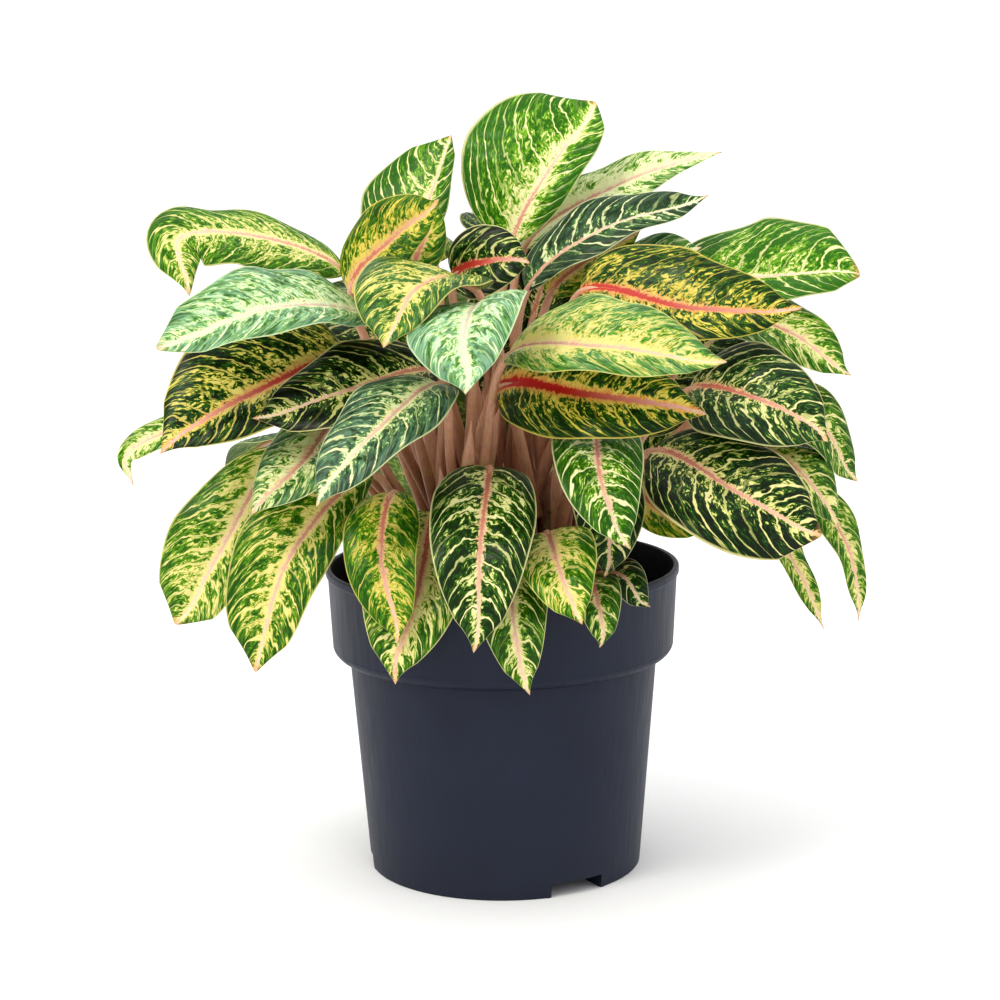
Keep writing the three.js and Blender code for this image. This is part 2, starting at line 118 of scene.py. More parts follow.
# Leaves deep in the crown share one dark tone
SHADE_TONE = (-0.1, 0.9, 0.4, 0.3, 0.0, 3, 0.8)
LEAVES = {
    "front_left": {
        "front_middle": leaf((300, 150), 53, (0, -9, 3), (-0.07, 0.85, 0.3, 0.5, 0.0, 3, 1.0),
            (-6, -65, 228), (-11, -120, 195), (-12, -132, 148)),
        "front_left_low": leaf((262, 150), 56, (-1, -9, 3), (0.03, 0.5, 0.5, 0.65, 0.0, 5, 1.0),
            (-34, -52, 202), (-44, -95, 166), (-58, -105, 127), right=0.56),
        "front_left_streaked": leaf((218, 166), 40, (-2, -9, 3), (0.02, 0.35, 0.9, 0.5, 0.0, 3, 0.8),
            (-55, -66, 216), (-60, -102, 188), (-50, -112, 149)),
        "left_low": leaf((190, 150), 50, (-3, -9, 1), (0.0, 0.45, 0.7, 0.35, 0.0, 6, 1.0),
            (-66, -46, 222), (-106, -80, 189), (-127, -85, 128), right=0.58, outline=(0.7, 0.66)),
        "left_pointed": leaf((180, 176), 46, (-3, -7, 5), (0.03, 0.6, 0.3, 0.65, 0.3, 6, 1.0),
            (-80, -50, 252), (-101, -85, 234), (-126, -100, 213)),
        "left_shadow": leaf((228, 180), 54, (-1, -7, 6), (-0.12, 1.0, 0.5, 0.3, 0.0, 3, 0.7),
            (-33, -48, 274), (-78, -84, 271), (-122, -95, 257)),
        "left_glossy": leaf((280, 194), 50, (-4, -8, 5), (-0.09, 0.85, 0.25, 0.2, 0.4, 6, 1.0),
            (-30, -72, 272), (-61, -118, 256), (-92, -135, 224)),
        "left_silver": leaf((190, 198), 50, (-1, -6, 7), (0.02, 0.35, 0.1, 0.1, 0.75, 6, 1.0),
            (-62, -48, 299), (-108, -95, 315), (-166, -118, 297), right=0.6, outline=(0.5, 0.5)),
        "right_red_vein": leaf((5, 176), 52, (0, -8, 4), (-0.03, 0.85, 1.0, 1.0, 0.0, 8, 0.9),
            (-1, -54, 267), (44, -98, 270), (101, -110, 263), outline=(0.5, 0.75)),
        "right_yellow": leaf((312, 180), 54, (0, -6, 7), (0.09, 0.3, 0.85, 0.35, 0.3, 8, 0.8),
            (4, -78, 287), (49, -122, 297), (108, -135, 288), right=0.4, outline=(0.5, 0.75)),
        "centre_mint": leaf((320, 204), 62, (-3, -6, 6), (0.0, 0.35, 0.0, 0.0, 0.8, 6, 1.0),
            (-10, -82, 313), (-17, -131, 303), (-13, -152, 280)),
    },
    "front_right": {
        "front_small": leaf((225, 148), 38, (0, -9, 2), (0.0, 0.5, 0.4, 0.35, 0.0, 6, 1.0),
            (5, -60, 190), (5, -108, 162), (11, -113, 121)),
        "front_right_low": leaf((262, 150), 42, (0, -9, 3), (0.05, 0.35, 0.7, 0.35, 0.0, 5, 1.0),
            (23, -75, 196), (30, -120, 181), (38, -130, 161)),
        "rim_small": leaf((303, 148), 26, (1, -9, 3), (-0.04, 0.5, 0.4, 0.45, 0.0, 3, 1.0),
            (43, -77, 174), (48, -109, 164), (51, -114, 146)),
        "rim_hooked": leaf((345, 148), 24, (2, -8, 4), (-0.15, 0.9, 0.2, 0.2, 0.0, 2, 0.8),
            (51, -50, 169), (63, -72, 171), (72, -78, 156)),
        "front_right_back": leaf((308, 160), 38, (1, -9, 3), (-0.12, 0.85, 0.3, 0.45, 0.0, 3, 1.0),
            (51, -51, 226), (54, -77, 211), (54, -90, 176)),
        "right_olive": leaf((15, 156), 30, (1, -7, 6), (0.08, 0.4, 1.0, 0.6, 0.0, 5, 0.8),
            (64, -18, 208), (88, -40, 196), (106, -44, 188)),
        "right_large": leaf((338, 174), 64, (1, -8, 5), (-0.08, 0.95, 0.5, 0.5, 0.0, 4, 1.0),
            (77, -60, 235), (119, -105, 220), (157, -110, 198), right=0.54, outline=(0.6, 0.6)),
        "right_dark": leaf((355, 188), 60, (1, -8, 5), (-0.1, 0.9, 0.4, 0.6, 0.05, 3, 1.0),
            (97, -50, 265), (130, -80, 264), (165, -90, 247)),
        "front_heart": leaf((285, 184), 46, (1, -8, 4), (-0.1, 0.4, 0.15, 0.45, 0.0, 3, 1.0),
            (46, -76, 251), (49, -122, 229), (59, -140, 200), outline=(0.45, 0.8)),
        "centre_cupped": leaf((200, 196), 63, (-1, -4, 9), (0.0, 0.6, 0.8, 0.5, 0.1, 5, 0.9),
            (-12, -49, 318), (-40, -90, 323), (-56, -116, 297), right=0.6, outline=(0.5, 0.8)),
    },
    "middle": {
        "inner_centre": leaf((120, 195), 46, (0, -6, 4), SHADE_TONE,
            (-8, 38, 252), (-2, 46, 286), (4, 52, 318)),
        "inner_top": leaf((85, 200), 42, (-1, -6, 5), SHADE_TONE,
            (18, 34, 292), (26, 40, 316), (38, 44, 338)),
        "inner_back_top": leaf((95, 200), 46, (0, 4, 8), (-0.05, 0.8, 0.3, 0.6, 0.0, 4, 1.0),
            (0, 60, 333), (2, 88, 343), (4, 118, 332)),
        "upper_left_narrow": leaf((180, 172), 26, (2, -9, 2), (0.0, 0.3, 0.9, 0.4, 0.0, 4, 0.6),
            (-45, -12, 321), (-39, -5, 341), (-33, 5, 359)),
        "upper_right_olive": leaf((15, 176), 34, (-2, -7, 6), (0.05, 0.45, 1.0, 0.5, 0.0, 5, 0.7),
            (27, 15, 307), (46, 15, 325), (76, 12, 341)),
        "back_11": leaf((100, 170), 50, (0, 5, 8), (-0.1, 0.7, 0.3, 0.4, 0.0, 3, 1.0),
            (-10, 55, 300), (-15, 100, 305), (-20, 135, 280)),
        "upper_right_dark": leaf((330, 182), 38, (-3, -6, 7), (-0.2, 0.85, 0.05, 0.05, 0.15, 1.5, 0.9),
            (15, 0, 312), (53, -5, 343), (111, -5, 359), right=0.42),
        "top_dark": leaf((240, 186), 42, (-1, -8, 4), (-0.1, 0.95, 0.4, 0.9, 0.0, 3, 0.8),
            (-23, -25, 322), (-4, -35, 331), (16, -40, 332)),
        "upper_right_pale": leaf((55, 178), 38, (-3, -6, 7), (0.13, 0.3, 0.1, 0.35, 0.2, 7, 0.8),
            (14, 40, 330), (66, 45, 364), (121, 40, 382), outline=(0.6, 1.0)),
        "top": leaf((150, 194), 68, (-3, -9, 2), (-0.13, 0.1, 0.25, 0.1, 0.0, 15, 1.0),
            (7, 20, 335), (27, 22, 373), (56, 45, 407), right=0.27, outline=(0.55, 0.62)),
    },
    "right": {
        "inner_right_under": leaf((45, 190), 50, (0, -6, 6), SHADE_TONE,
            (56, 40, 188), (82, 52, 214), (108, 62, 232)),
        "inner_right_high": leaf((55, 222), 58, (0, -6, 6), SHADE_TONE,
            (72, 18, 232), (94, 32, 262), (138, 44, 294)),
        "inner_back_right_side": leaf((80, 205), 48, (3, 4, 8), (0.02, 0.4, 0.7, 0.5, 0.0, 6, 0.9),
            (70, 35, 258), (95, 65, 262), (122, 92, 244)),
        "right_far_middle": leaf((300, 208), 40, (3, -6, 6), (-0.02, 0.5, 0.5, 0.4, 0.0, 4, 1.0),
            (127, -37, 234), (151, -63, 225), (173, -68, 197)),
        "right_far_behind": leaf((350, 204), 40, (3, -6, 6), (-0.02, 0.5, 0.4, 0.4, 0.0, 4, 1.0),
            (125, -28, 260), (164, -46, 246), (183, -43, 213)),
        "right_far_thin": leaf((35, 184), 25, (5, -7, 4), (0.03, 0.35, 0.5, 0.35, 0.0, 3, 0.8),
            (160, 14, 206), (185, 2, 173), (194, -2, 132), outline=(0.55, 1.0)),
        "right_far_low": leaf((350, 184), 22, (5, -7, 3), (0.03, 0.35, 0.6, 0.3, 0.0, 3, 0.8),
            (131, 0, 200), (157, -15, 163), (171, -20, 131), outline=(0.55, 1.0)),
        "right_upper_back": leaf((355, 216), 44, (2, -6, 7), (0.02, 0.3, 0.4, 0.4, 0.0, 6, 1.0),
            (116, -10, 297), (151, -30, 291), (180, -40, 269)),
        "right_bright": leaf((30, 222), 60, (-1, -6, 7), (-0.13, 0.05, 0.3, 0.05, 0.0, 4, 1.0),
            (90, 5, 314), (140, -5, 318), (189, -10, 322), right=0.35, outline=(0.6, 0.46)),
    },
    "back_left": {
        "inner_left_low": leaf((140, 178), 56, (-1, 6, 5), SHADE_TONE,
            (-48, 42, 200), (-62, 60, 232), (-76, 72, 255)),
        "inner_left_high": leaf((165, 202), 56, (-2, -6, 7), SHADE_TONE,
            (-52, 30, 274), (-78, 38, 294), (-112, 48, 298)),
        "inner_middle_left": leaf((70, 182), 54, (0, 7, 5), SHADE_TONE,
            (-16, 46, 214), (-18, 62, 246), (-18, 76, 274)),
        "inner_back_left_top": leaf((110, 202), 46, (-2, 4, 8), (0.02, 0.4, 0.7, 0.5, 0.0, 6, 0.9),
            (-35, 50, 322), (-52, 78, 335), (-72, 104, 324)),
        "inner_back_left_side": leaf((150, 190), 46, (-4, 3, 8), (-0.1, 0.3, 0.4, 0.3, 0.0, 5, 1.0),
            (-75, 50, 262), (-105, 75, 262), (-132, 96, 240)),
        "back_1": leaf((120, 150), 46, (-4, 8, 3), (0.0, 0.4, 0.5, 0.4, 0.0, 5, 1.0),
            (-40, 55, 195), (-62, 92, 190), (-75, 118, 150)),
        "back_2": leaf((180, 150), 46, (-5, 3, 7), (-0.05, 0.6, 0.4, 0.3, 0.1, 4, 1.0),
            (-95, 20, 230), (-130, 45, 225), (-155, 65, 195)),
        "left_hanging": leaf((225, 150), 49, (-2, -9, 2), (0.02, 0.35, 0.6, 0.2, 0.0, 7, 0.9),
            (-110, -35, 234), (-144, -58, 187), (-168, -50, 143), right=0.6, outline=(0.85, 0.62)),
        "back_4": leaf((90, 165), 52, (-3, 7, 6), (0.04, 0.5, 0.7, 0.6, 0.0, 6, 0.9),
            (-30, 60, 240), (-45, 105, 235), (-55, 140, 200)),
        "left_far_low": leaf((200, 165), 28, (-1, -6, 7), (0.1, 0.3, 0.3, 0.35, 0.0, 6, 0.8),
            (-106, -10, 251), (-168, -36, 246), (-194, -42, 232), (-189, -46, 219)),
        "back_3": leaf((150, 165), 50, (-4, 4, 7), (-0.12, 0.2, 0.3, 0.1, 0.0, 6, 1.0),
            (-70, 40, 250), (-100, 80, 250), (-115, 115, 225)),
        "left_red_vein": leaf((240, 180), 70, (-3, -9, 4), (-0.05, 0.95, 0.85, 0.88, 0.0, 9, 0.8),
            (-77, -45, 281), (-126, -78, 269), (-171, -95, 245), right=0.64),
        "back_5": leaf((130, 178), 50, (-4, 4, 8), (-0.02, 0.4, 0.3, 0.2, 0.3, 5, 1.0),
            (-50, 45, 300), (-85, 75, 305), (-110, 105, 285)),
        "upper_left_facing": leaf((210, 190), 44, (-4, -8, 3), (0.03, 0.5, 1.0, 0.55, 0.0, 6, 0.6),
            (-78, -6, 313), (-54, -30, 343), (-29, -58, 362)),
        "top_behind": leaf((85, 196), 52, (-4, -8, 2), (-0.12, 0.15, 0.3, 0.1, 0.0, 5, 1.0),
            (-49, 38, 321), (-38, 48, 354), (-25, 62, 391), right=0.25, outline=(0.5, 0.7)),
        "left_upper": leaf((165, 196), 48, (0, -6, 7), (0.01, 0.3, 0.5, 0.2, 0.0, 5, 0.9),
            (-82, 14, 321), (-130, -5, 343), (-165, -30, 343), (-156, -46, 316),
            fold=12, twist=-50, outline=(0.55, 0.8)),
    },
    "back_right": {
        "inner_middle_right": leaf((110, 182), 54, (0, 7, 5), SHADE_TONE,
            (20, 46, 218), (20, 64, 250), (18, 78, 276)),
        "inner_right_low": leaf((50, 178), 52, (1, 6, 5), SHADE_TONE,
            (52, 44, 215), (66, 58, 243), (80, 70, 262)),
        "inner_back_right_top": leaf((60, 202), 46, (2, 4, 8), (-0.1, 0.3, 0.4, 0.3, 0.0, 5, 1.0),
            (40, 45, 300), (62, 70, 314), (88, 96, 303)),
        "inner_back_middle": leaf((100, 160), 48, (0, 5, 8), (-0.05, 0.8, 0.3, 0.6, 0.0, 4, 1.0),
            (12, 62, 262), (14, 98, 262), (10, 128, 240)),
        "back_6": leaf((115, 150), 48, (0, 9, 3), (-0.08, 0.8, 0.4, 0.5, 0.0, 4, 1.0),
            (5, 60, 195), (5, 102, 188), (0, 125, 140)),
        "back_7": leaf((70, 150), 46, (5, 7, 3), (0.03, 0.4, 0.8, 0.4, 0.0, 5, 0.9),
            (38, 55, 190), (58, 92, 184), (70, 120, 146)),
        "back_8": leaf((30, 165), 50, (4, 4, 7), (-0.06, 0.9, 0.5, 0.8, 0.0, 4, 0.9),
            (60, 50, 240), (85, 95, 240), (100, 130, 215)),
        "back_9": leaf((95, 168), 52, (1, 7, 6), (0.0, 0.3, 0.6, 0.3, 0.0, 8, 1.0),
            (20, 65, 235), (25, 115, 225), (30, 150, 185)),
        "right_upper": leaf((280, 180), 54, (0, -8, 5), (-0.01, 0.85, 1.0, 0.88, 0.0, 4, 0.7),
            (42, -25, 313), (97, -58, 308), (152, -70, 306), right=0.42),
        "back_10": leaf((55, 188), 50, (4, 4, 8), (0.05, 0.35, 0.8, 0.5, 0.1, 6, 0.8),
            (45, 45, 300), (75, 85, 305), (95, 120, 285)),
        "right_mint_back": leaf((325, 190), 36, (0, -6, 7), (0.0, 0.4, 0.2, 0.3, 0.4, 4, 1.0),
            (58, 5, 314), (78, 0, 326), (106, -10, 333)),
    },
}


def linear(hex_colour):
    """An sRGB hex colour as linear RGBA."""
    parts = [int(hex_colour[i:i + 2], 16) / 255 for i in (1, 3, 5)]
    return (*(c / 12.92 if c <= 0.04045 else ((c + 0.055) / 1.055) ** 2.4 for c in parts), 1.0)


def add(tree, kind, inputs=(), **settings):
    """Add a node with its settings; a kind in capitals is a preset, or else an operation of the Math
    node. Inputs are values, hex colours, sockets or nodes, by name or by place."""
    if kind.isupper():
        kind, preset = PRESETS.get(kind, ("ShaderNodeMath", {"operation": kind}))
        settings = {**preset, **settings}
    node = tree.nodes.new(kind)
    for name, value in settings.items():
        setattr(node, name, value)
    pairs = inputs.items() if isinstance(inputs, dict) else enumerate(inputs)
    for key, value in pairs:
        live = [socket for socket in node.inputs if socket.enabled]
        socket = live[key] if isinstance(key, int) else next(s for s in live if s.name == key)
        for item in value if isinstance(value, list) else [value]:
            if isinstance(item, bpy.types.Node):
                item = next(s for s in item.outputs if s.enabled)
            if isinstance(item, bpy.types.NodeSocket):
                tree.links.new(item, socket)
            else:
                is_colour = isinstance(item, str) and item.startswith("#")
                socket.default_value = linear(item) if is_colour else item
    return node


def new_material(name):
    """A node material with an empty tree; returns both."""
    material = bpy.data.materials.new(name)
    material.use_nodes = True
    material.node_tree.nodes.clear()
    return material, material.node_tree


def surface(t, relief, strength, depth, skin):
    """End a material with its skin, under bumps of that depth in millimetres."""
    bump = add(t, "ShaderNodeBump", {"Strength": strength, "Distance": depth * MM, "Height": relief})
    shader = add(t, "ShaderNodeBsdfPrincipled", {**skin, "Normal": bump})
    add(t, "ShaderNodeOutputMaterial", {"Surface": shader})


def blade_material():
    """Living leaf blade: a waxy skin over green flesh, which gives broad soft highlights. Cream veins
    arc to the margin, and a pale centre breaks up into streaks and specks along them."""
    material, t = new_material("waxy_marbled_leaf_blade")
    attribute = {}
    for name in ("vein_place", "leaf_place", "tone", "tint", "centre"):
        source = add(t, "ShaderNodeAttribute", attribute_name=name)
        attribute[name] = add(t, SPLIT, [source.outputs["Vector"]]).outputs
    smooth_vein, across, reach = attribute["vein_place"]
    share, side_mark, under = attribute["leaf_place"]
    pale_tone, dark_tone, yellow_tone = attribute["tone"]
    red_tone, painted_sheen_tone, seed = attribute["tint"]
    centre_width, vein_tone, _ = attribute["centre"]
    side = add(t, "SIGN", [side_mark])

    def blotches(along, width, length, shift):
        """Noise in blotches of that width and length in millimetres, lengthwise along the veins."""
        x = add(t, "MULTIPLY", [along, 1 / width])
        y = add(t, "MULTIPLY", [across, 1 / length])
        z = add(t, "MULTIPLY_ADD", [seed, 7.0, add(t, "MULTIPLY", [side, shift])])
        at = add(t, JOIN, [x, y, z])
        return add(t, NOISE, {"Vector": at, "Scale": 1.0, "Detail": 2.0, "Roughness": 0.65}).outputs["Fac"]

    # Veins wander by about 2 mm
    sway = add(t, "SUBTRACT", [blotches(smooth_vein, 9.0, 9.0, 5.3), 0.5])
    along_vein = add(t, "MULTIPLY_ADD", [sway, VEIN_SWAY, smooth_vein])
    fine = blotches(along_vein, 1.2, 2.0, 3.1)
    middle = blotches(along_vein, 2.6, 4.8, 7.7)
    broad = blotches(along_vein, 13.0, 18.0, 12.9)

    # Cream veins 1 to 1.5 mm wide, a vein spacing apart, each with a strength of its own
    phase = add(t, "MULTIPLY_ADD", [along_vein, 1 / VEIN_SPACING, add(t, "MULTIPLY", [side, SIDE_STAGGER])])
    centred = add(t, "SUBTRACT", [add(t, "FRACT", [phase]), 0.5])
    off = add(t, "MULTIPLY_ADD", [fine, 0.14, add(t, "ABSOLUTE", [centred])])
    line = add(t, RANGE, [off, 0.12, 0.165, 1.0, 0.0])
    which = add(t, JOIN, [add(t, "FLOOR", [phase]), side, seed])
    own = add(t, "ShaderNodeTexWhiteNoise", [which]).outputs["Value"]
    strength = add(t, RANGE, [own, 0.0, 0.5, 0.1, 1.0])
    fade = add(t, RANGE, [reach, 0.86, 0.98, 1.0, 0.15])
    shown = add(t, "MULTIPLY", [add(t, "MULTIPLY", [line, strength]), fade])
    veins = add(t, "MULTIPLY", [shown, vein_tone])

    # Pale flecks all over, closing up beside the midrib and thinning towards the margin
    blend = add(t, "MULTIPLY_ADD", [middle, 0.9, add(t, "MULTIPLY", [fine, 1.2])])
    field = add(t, "MULTIPLY_ADD", [broad, 0.8, blend])
    ragged = add(t, "MULTIPLY_ADD", [middle, 9.0, add(t, "SUBTRACT", [across, 4.5])])
    taper = add(t, RANGE, [share, 0.1, 1.0, 1.0, 0.25])
    core_width = add(t, "MAXIMUM", [add(t, "MULTIPLY", [centre_width, taper]), 1.2])
    core = add(t, RANGE, [ragged, 0.3, core_width, 0.36, 0.0])
    bar = add(t, "MULTIPLY_ADD", [reach, 0.26, 1.43])
    raised = add(t, "ADD", [add(t, "SUBTRACT", [field, bar]), pale_tone])
    over = add(t, "ADD", [raised, core])
    marks = add(t, "MAXIMUM", [add(t, RANGE, [over, -0.02, 0.02]), veins])

    # The green is darkest away from the flecks, and the flecks are palest at their middles
    shallow = add(t, RANGE, [over, -0.26, -0.02])
    deep_green = add(t, "BLEND", [dark_tone, "#2e6606", "#060f02"])
    light_green = add(t, "BLEND", [dark_tone, "#72aa16", "#24560c"])
    green = add(t, "BLEND", [shallow, deep_green, light_green])
    cream = add(t, "BLEND", [yellow_tone, "#e9e9ba", "#dcc862"])
    leafy = add(t, "BLEND", [yellow_tone, "#b4cc6c", "#b8a834"])
    thick = add(t, "MAXIMUM", [add(t, RANGE, [over, 0.0, 0.16]), veins])
    fleck = add(t, "BLEND", [thick, leafy, cream])

    # A blush of pink or orange beside the midrib, wider where the midrib is redder
    blush_width = add(t, "MULTIPLY", [add(t, "MULTIPLY_ADD", [red_tone, 6.0, 2.0]), taper])
    near = add(t, RANGE, [ragged, -1.0, blush_width, 1.0, 0.0])
    blush = add(t, "BLEND", [red_tone, "#ecd0b8", "#d4603a"])
    marbled = add(t, "BLEND", [marks, green, add(t, "BLEND", [near, fleck, blush])])

    # The midrib narrows and pales from base to tip, and a crimson one feathers out
    narrowing = add(t, RANGE, [share, 0.0, 1.0, 1.25, 0.3])
    feathered = add(t, "MULTIPLY", [add(t, "POWER", [red_tone, 4.0]), taper])
    rib_width = add(t, "MULTIPLY_ADD", [feathered, 1.5, narrowing])
    torn = add(t, "MULTIPLY_ADD", [fine, 4.0, across])
    rib_edge = add(t, "SUBTRACT", [add(t, "SUBTRACT", [torn, 2.0]), rib_width])
    rib = add(t, RANGE, [rib_edge, -0.3, 0.3, 1.0, 0.0])
    rib_red = add(t, "MULTIPLY", [red_tone, add(t, RANGE, [share, 0.4, 1.0, 1.0, 0.3])])
    rib_pink = add(t, "BLEND", [share, "#c88a70", "#f4e2cc"])
    ribbed = add(t, "BLEND", [rib, marbled, add(t, "BLEND", [rib_red, rib_pink, "#b8221a"])])

    # A fine cream line along the margin, a tan tip, a painted silvery sheen on some that stands in for
    # reflected light, and a dull green underside
    margin = add(t, RANGE, [reach, 0.955, 0.985, 0.0, 0.7])
    tip = add(t, RANGE, [share, 0.95, 0.995, 0.0, 0.6])
    tipped = add(t, "BLEND", [tip, add(t, "BLEND", [margin, ribbed, cream]), "#c08a50"])
    # Painted sheen: a silvery-mint veil mixed into the colour, standing in for the lights' reflection on
    # the waxy skin
    painted_sheen_mask = add(t, "MULTIPLY", [painted_sheen_tone, add(t, RANGE, [middle, 0.35, 0.65, 0.05, 0.75])])
    with_painted_sheen = add(t, "BLEND", [painted_sheen_mask, tipped, "#9cc8ac"])
    colour = add(t, "BLEND", [under, with_painted_sheen, add(t, "BLEND", [0.6, with_painted_sheen, "#7d9c50"])])

    relief = add(t, "MULTIPLY_ADD", [veins, -0.6, add(t, "MULTIPLY", [fine, 0.5])])
    rough = add(t, RANGE, [middle, 0.3, 0.7, 0.30, 0.42])
    surface(t, relief, 0.5, 0.4, {
        "Base Color": colour, "Roughness": rough, "IOR": 1.45, "Specular IOR Level": 0.25})
    return material


def stalk_material():
    """Leaf stalk: a smooth waxy skin over wet fibres, brown low down and pink and paler towards the
    blade, with green patches."""
    material, t = new_material("waxy_pink_leaf_stalk")
    at = add(t, "ShaderNodeTexCoord").outputs["Object"]
    place = add(t, "ShaderNodeAttribute", attribute_name="leaf_place")
    share = add(t, SPLIT, [place.outputs["Vector"]]).outputs["X"]
    # Fibre streaks 1 mm across and some 12 mm long; blotches of 6 mm
    stretched = add(t, "ShaderNodeMapping", {"Vector": at, "Scale": (1000.0, 1000.0, 80.0)})
    fibres = add(t, NOISE, {"Vector": stretched, "Scale": 1.0, "Detail": 2.0}).outputs["Fac"]
    blotches = add(t, NOISE, {"Vector": at, "Scale": 160.0, "Detail": 2.0}).outputs["Fac"]
    low = add(t, "BLEND", [fibres, "#7c4630", "#b07c58"])
    high = add(t, "BLEND", [fibres, "#c48468", "#e4bea2"])
    base = add(t, "BLEND", [add(t, RANGE, [share, -1.0, 0.1]), low, high])
    colour = add(t, "BLEND", [add(t, RANGE, [blotches, 0.55, 0.75, 0.0, 0.4]), base, "#a89a58"])
    surface(t, fibres, 0.3, 0.3, {"Base Color": colour, "Roughness": 0.4, "IOR": 1.45})
    return material


def cane_material():
    """Cane: ringed green-brown skin with papery dry sheaths, so dull and matt."""
    material, t = new_material("dry_sheathed_cane")
    at = add(t, "ShaderNodeTexCoord").outputs["Object"]
    # Dark leaf scars round the cane; dry fibres 0.8 mm across
    turns = add(t, "MULTIPLY", [add(t, SPLIT, [at]).outputs["Z"], 1 / (SCAR_SPACING * MM)])
    scar = add(t, RANGE, [add(t, "FRACT", [turns]), 0.8, 0.95])
    stretched = add(t, "ShaderNodeMapping", {"Vector": at, "Scale": (1250.0, 1250.0, 90.0)})
    fibres = add(t, NOISE, {"Vector": stretched, "Scale": 1.0, "Detail": 3.0}).outputs["Fac"]
    colour = add(t, "BLEND", [scar, add(t, "BLEND", [fibres, "#5c4630", "#a08a5c"]), "#4a3222"])
    surface(t, fibres, 0.6, 0.6, {"Base Color": colour, "Roughness": 0.7, "IOR": 1.45})
    return material


def pot_material():
    """Injection-moulded polypropylene, dark slate blue, satin from a fine spark-eroded mould: wide dull
    highlights that catch on edges, with faint upright scuffs and dust near the foot."""
    material, t = new_material("moulded_slate_polypropylene")
    at = add(t, "ShaderNodeTexCoord").outputs["Object"]
    # Mould texture of 0.4 mm is drawn at 0.8 mm, to show at this size
    grain = add(t, NOISE, {"Vector": at, "Scale": 1250.0, "Detail": 2.0}).outputs["Fac"]
    # Clouds of 45 mm; scuffs 2.4 mm across and 33 mm high
    clouds = add(t, NOISE, {"Vector": at, "Scale": 22.0, "Detail": 3.0}).outputs["Fac"]
    stretched = add(t, "ShaderNodeMapping", {"Vector": at, "Scale": (420.0, 420.0, 30.0)})
    scuffs = add(t, NOISE, {"Vector": stretched, "Scale": 1.0, "Detail": 3.0}).outputs["Fac"]
    base = add(t, "BLEND", [clouds, "#171d2d", "#1f2639"])
    scuffed = add(t, "BLEND", [add(t, RANGE, [scuffs, 0.6, 0.8, 0.0, 0.25]), base, "#262d42"])
    dust = add(t, RANGE, [add(t, SPLIT, [at]).outputs["Z"], 0.0, 50 * MM, 0.25, 0.0])
    colour = add(t, "BLEND", [add(t, "MULTIPLY", [dust, scuffs]), scuffed, "#3a3b3e"])
    rough = add(t, RANGE, [scuffs, 0.3, 0.7, 0.42, 0.54])
    surface(t, grain, 0.25, 0.2, {
        "Base Color": colour, "Roughness": rough, "IOR": 1.49, "Specular IOR Level": 0.3})
    return material


def soil_material():
    """Moist peat and bark: crumbly and dull, dark brown with rust-brown bits."""
    material, t = new_material("moist_peat_and_bark")
    at = add(t, "ShaderNodeTexCoord").outputs["Object"]
    # Crumbs of 3 mm, fibres of 1 mm, and bits of 4 mm that are peat or bark
    crumbs = add(t, NOISE, {"Vector": at, "Scale": 330.0, "Detail": 4.0}).outputs["Fac"]
    fibres = add(t, NOISE, {"Vector": at, "Scale": 1000.0, "Detail": 2.0}).outputs["Fac"]
    bits = add(t, "ShaderNodeTexVoronoi", {"Vector": at, "Scale": 260.0}).outputs["Color"]
    bark = add(t, RANGE, [add(t, SPLIT, [bits]).outputs["X"], 0.72, 0.8])
    peat_colour = add(t, "BLEND", [crumbs, "#241b15", "#5a4232"])
    bark_colour = add(t, "BLEND", [fibres, "#8a5238", "#b88058"])
    colour = add(t, "BLEND", [bark, peat_colour, bark_colour])
    surface(t, crumbs, 0.9, 1.5, {"Base Color": colour, "Roughness": 0.85, "IOR": 1.4})
    return material


def new_tree(name, **labels):
    """A Geometry Nodes tree with its inputs' names by kind; returns it with its input sockets."""
    tree = bpy.data.node_groups.new(name, "GeometryNodeTree")
    tree.interface.new_socket("Geometry", in_out="INPUT", socket_type="NodeSocketGeometry")
    for kind, names in labels.items():
        for label in names:
            tree.interface.new_socket(label, in_out="INPUT", socket_type="NodeSocket" + kind)
    tree.interface.new_socket("Geometry", in_out="OUTPUT", socket_type="NodeSocketGeometry")
    return tree, tree.nodes.new("NodeGroupInput").outputs


def end_tree(t, shape, finish):
    """End a tree: the shape takes its finish, and instances become real."""
    finished = add(t, "GeometryNodeSetMaterial", {"Geometry": shape, "Material": finish})
    add(t, "NodeGroupOutput", [add(t, "GeometryNodeRealizeInstances", [finished])])
    return t


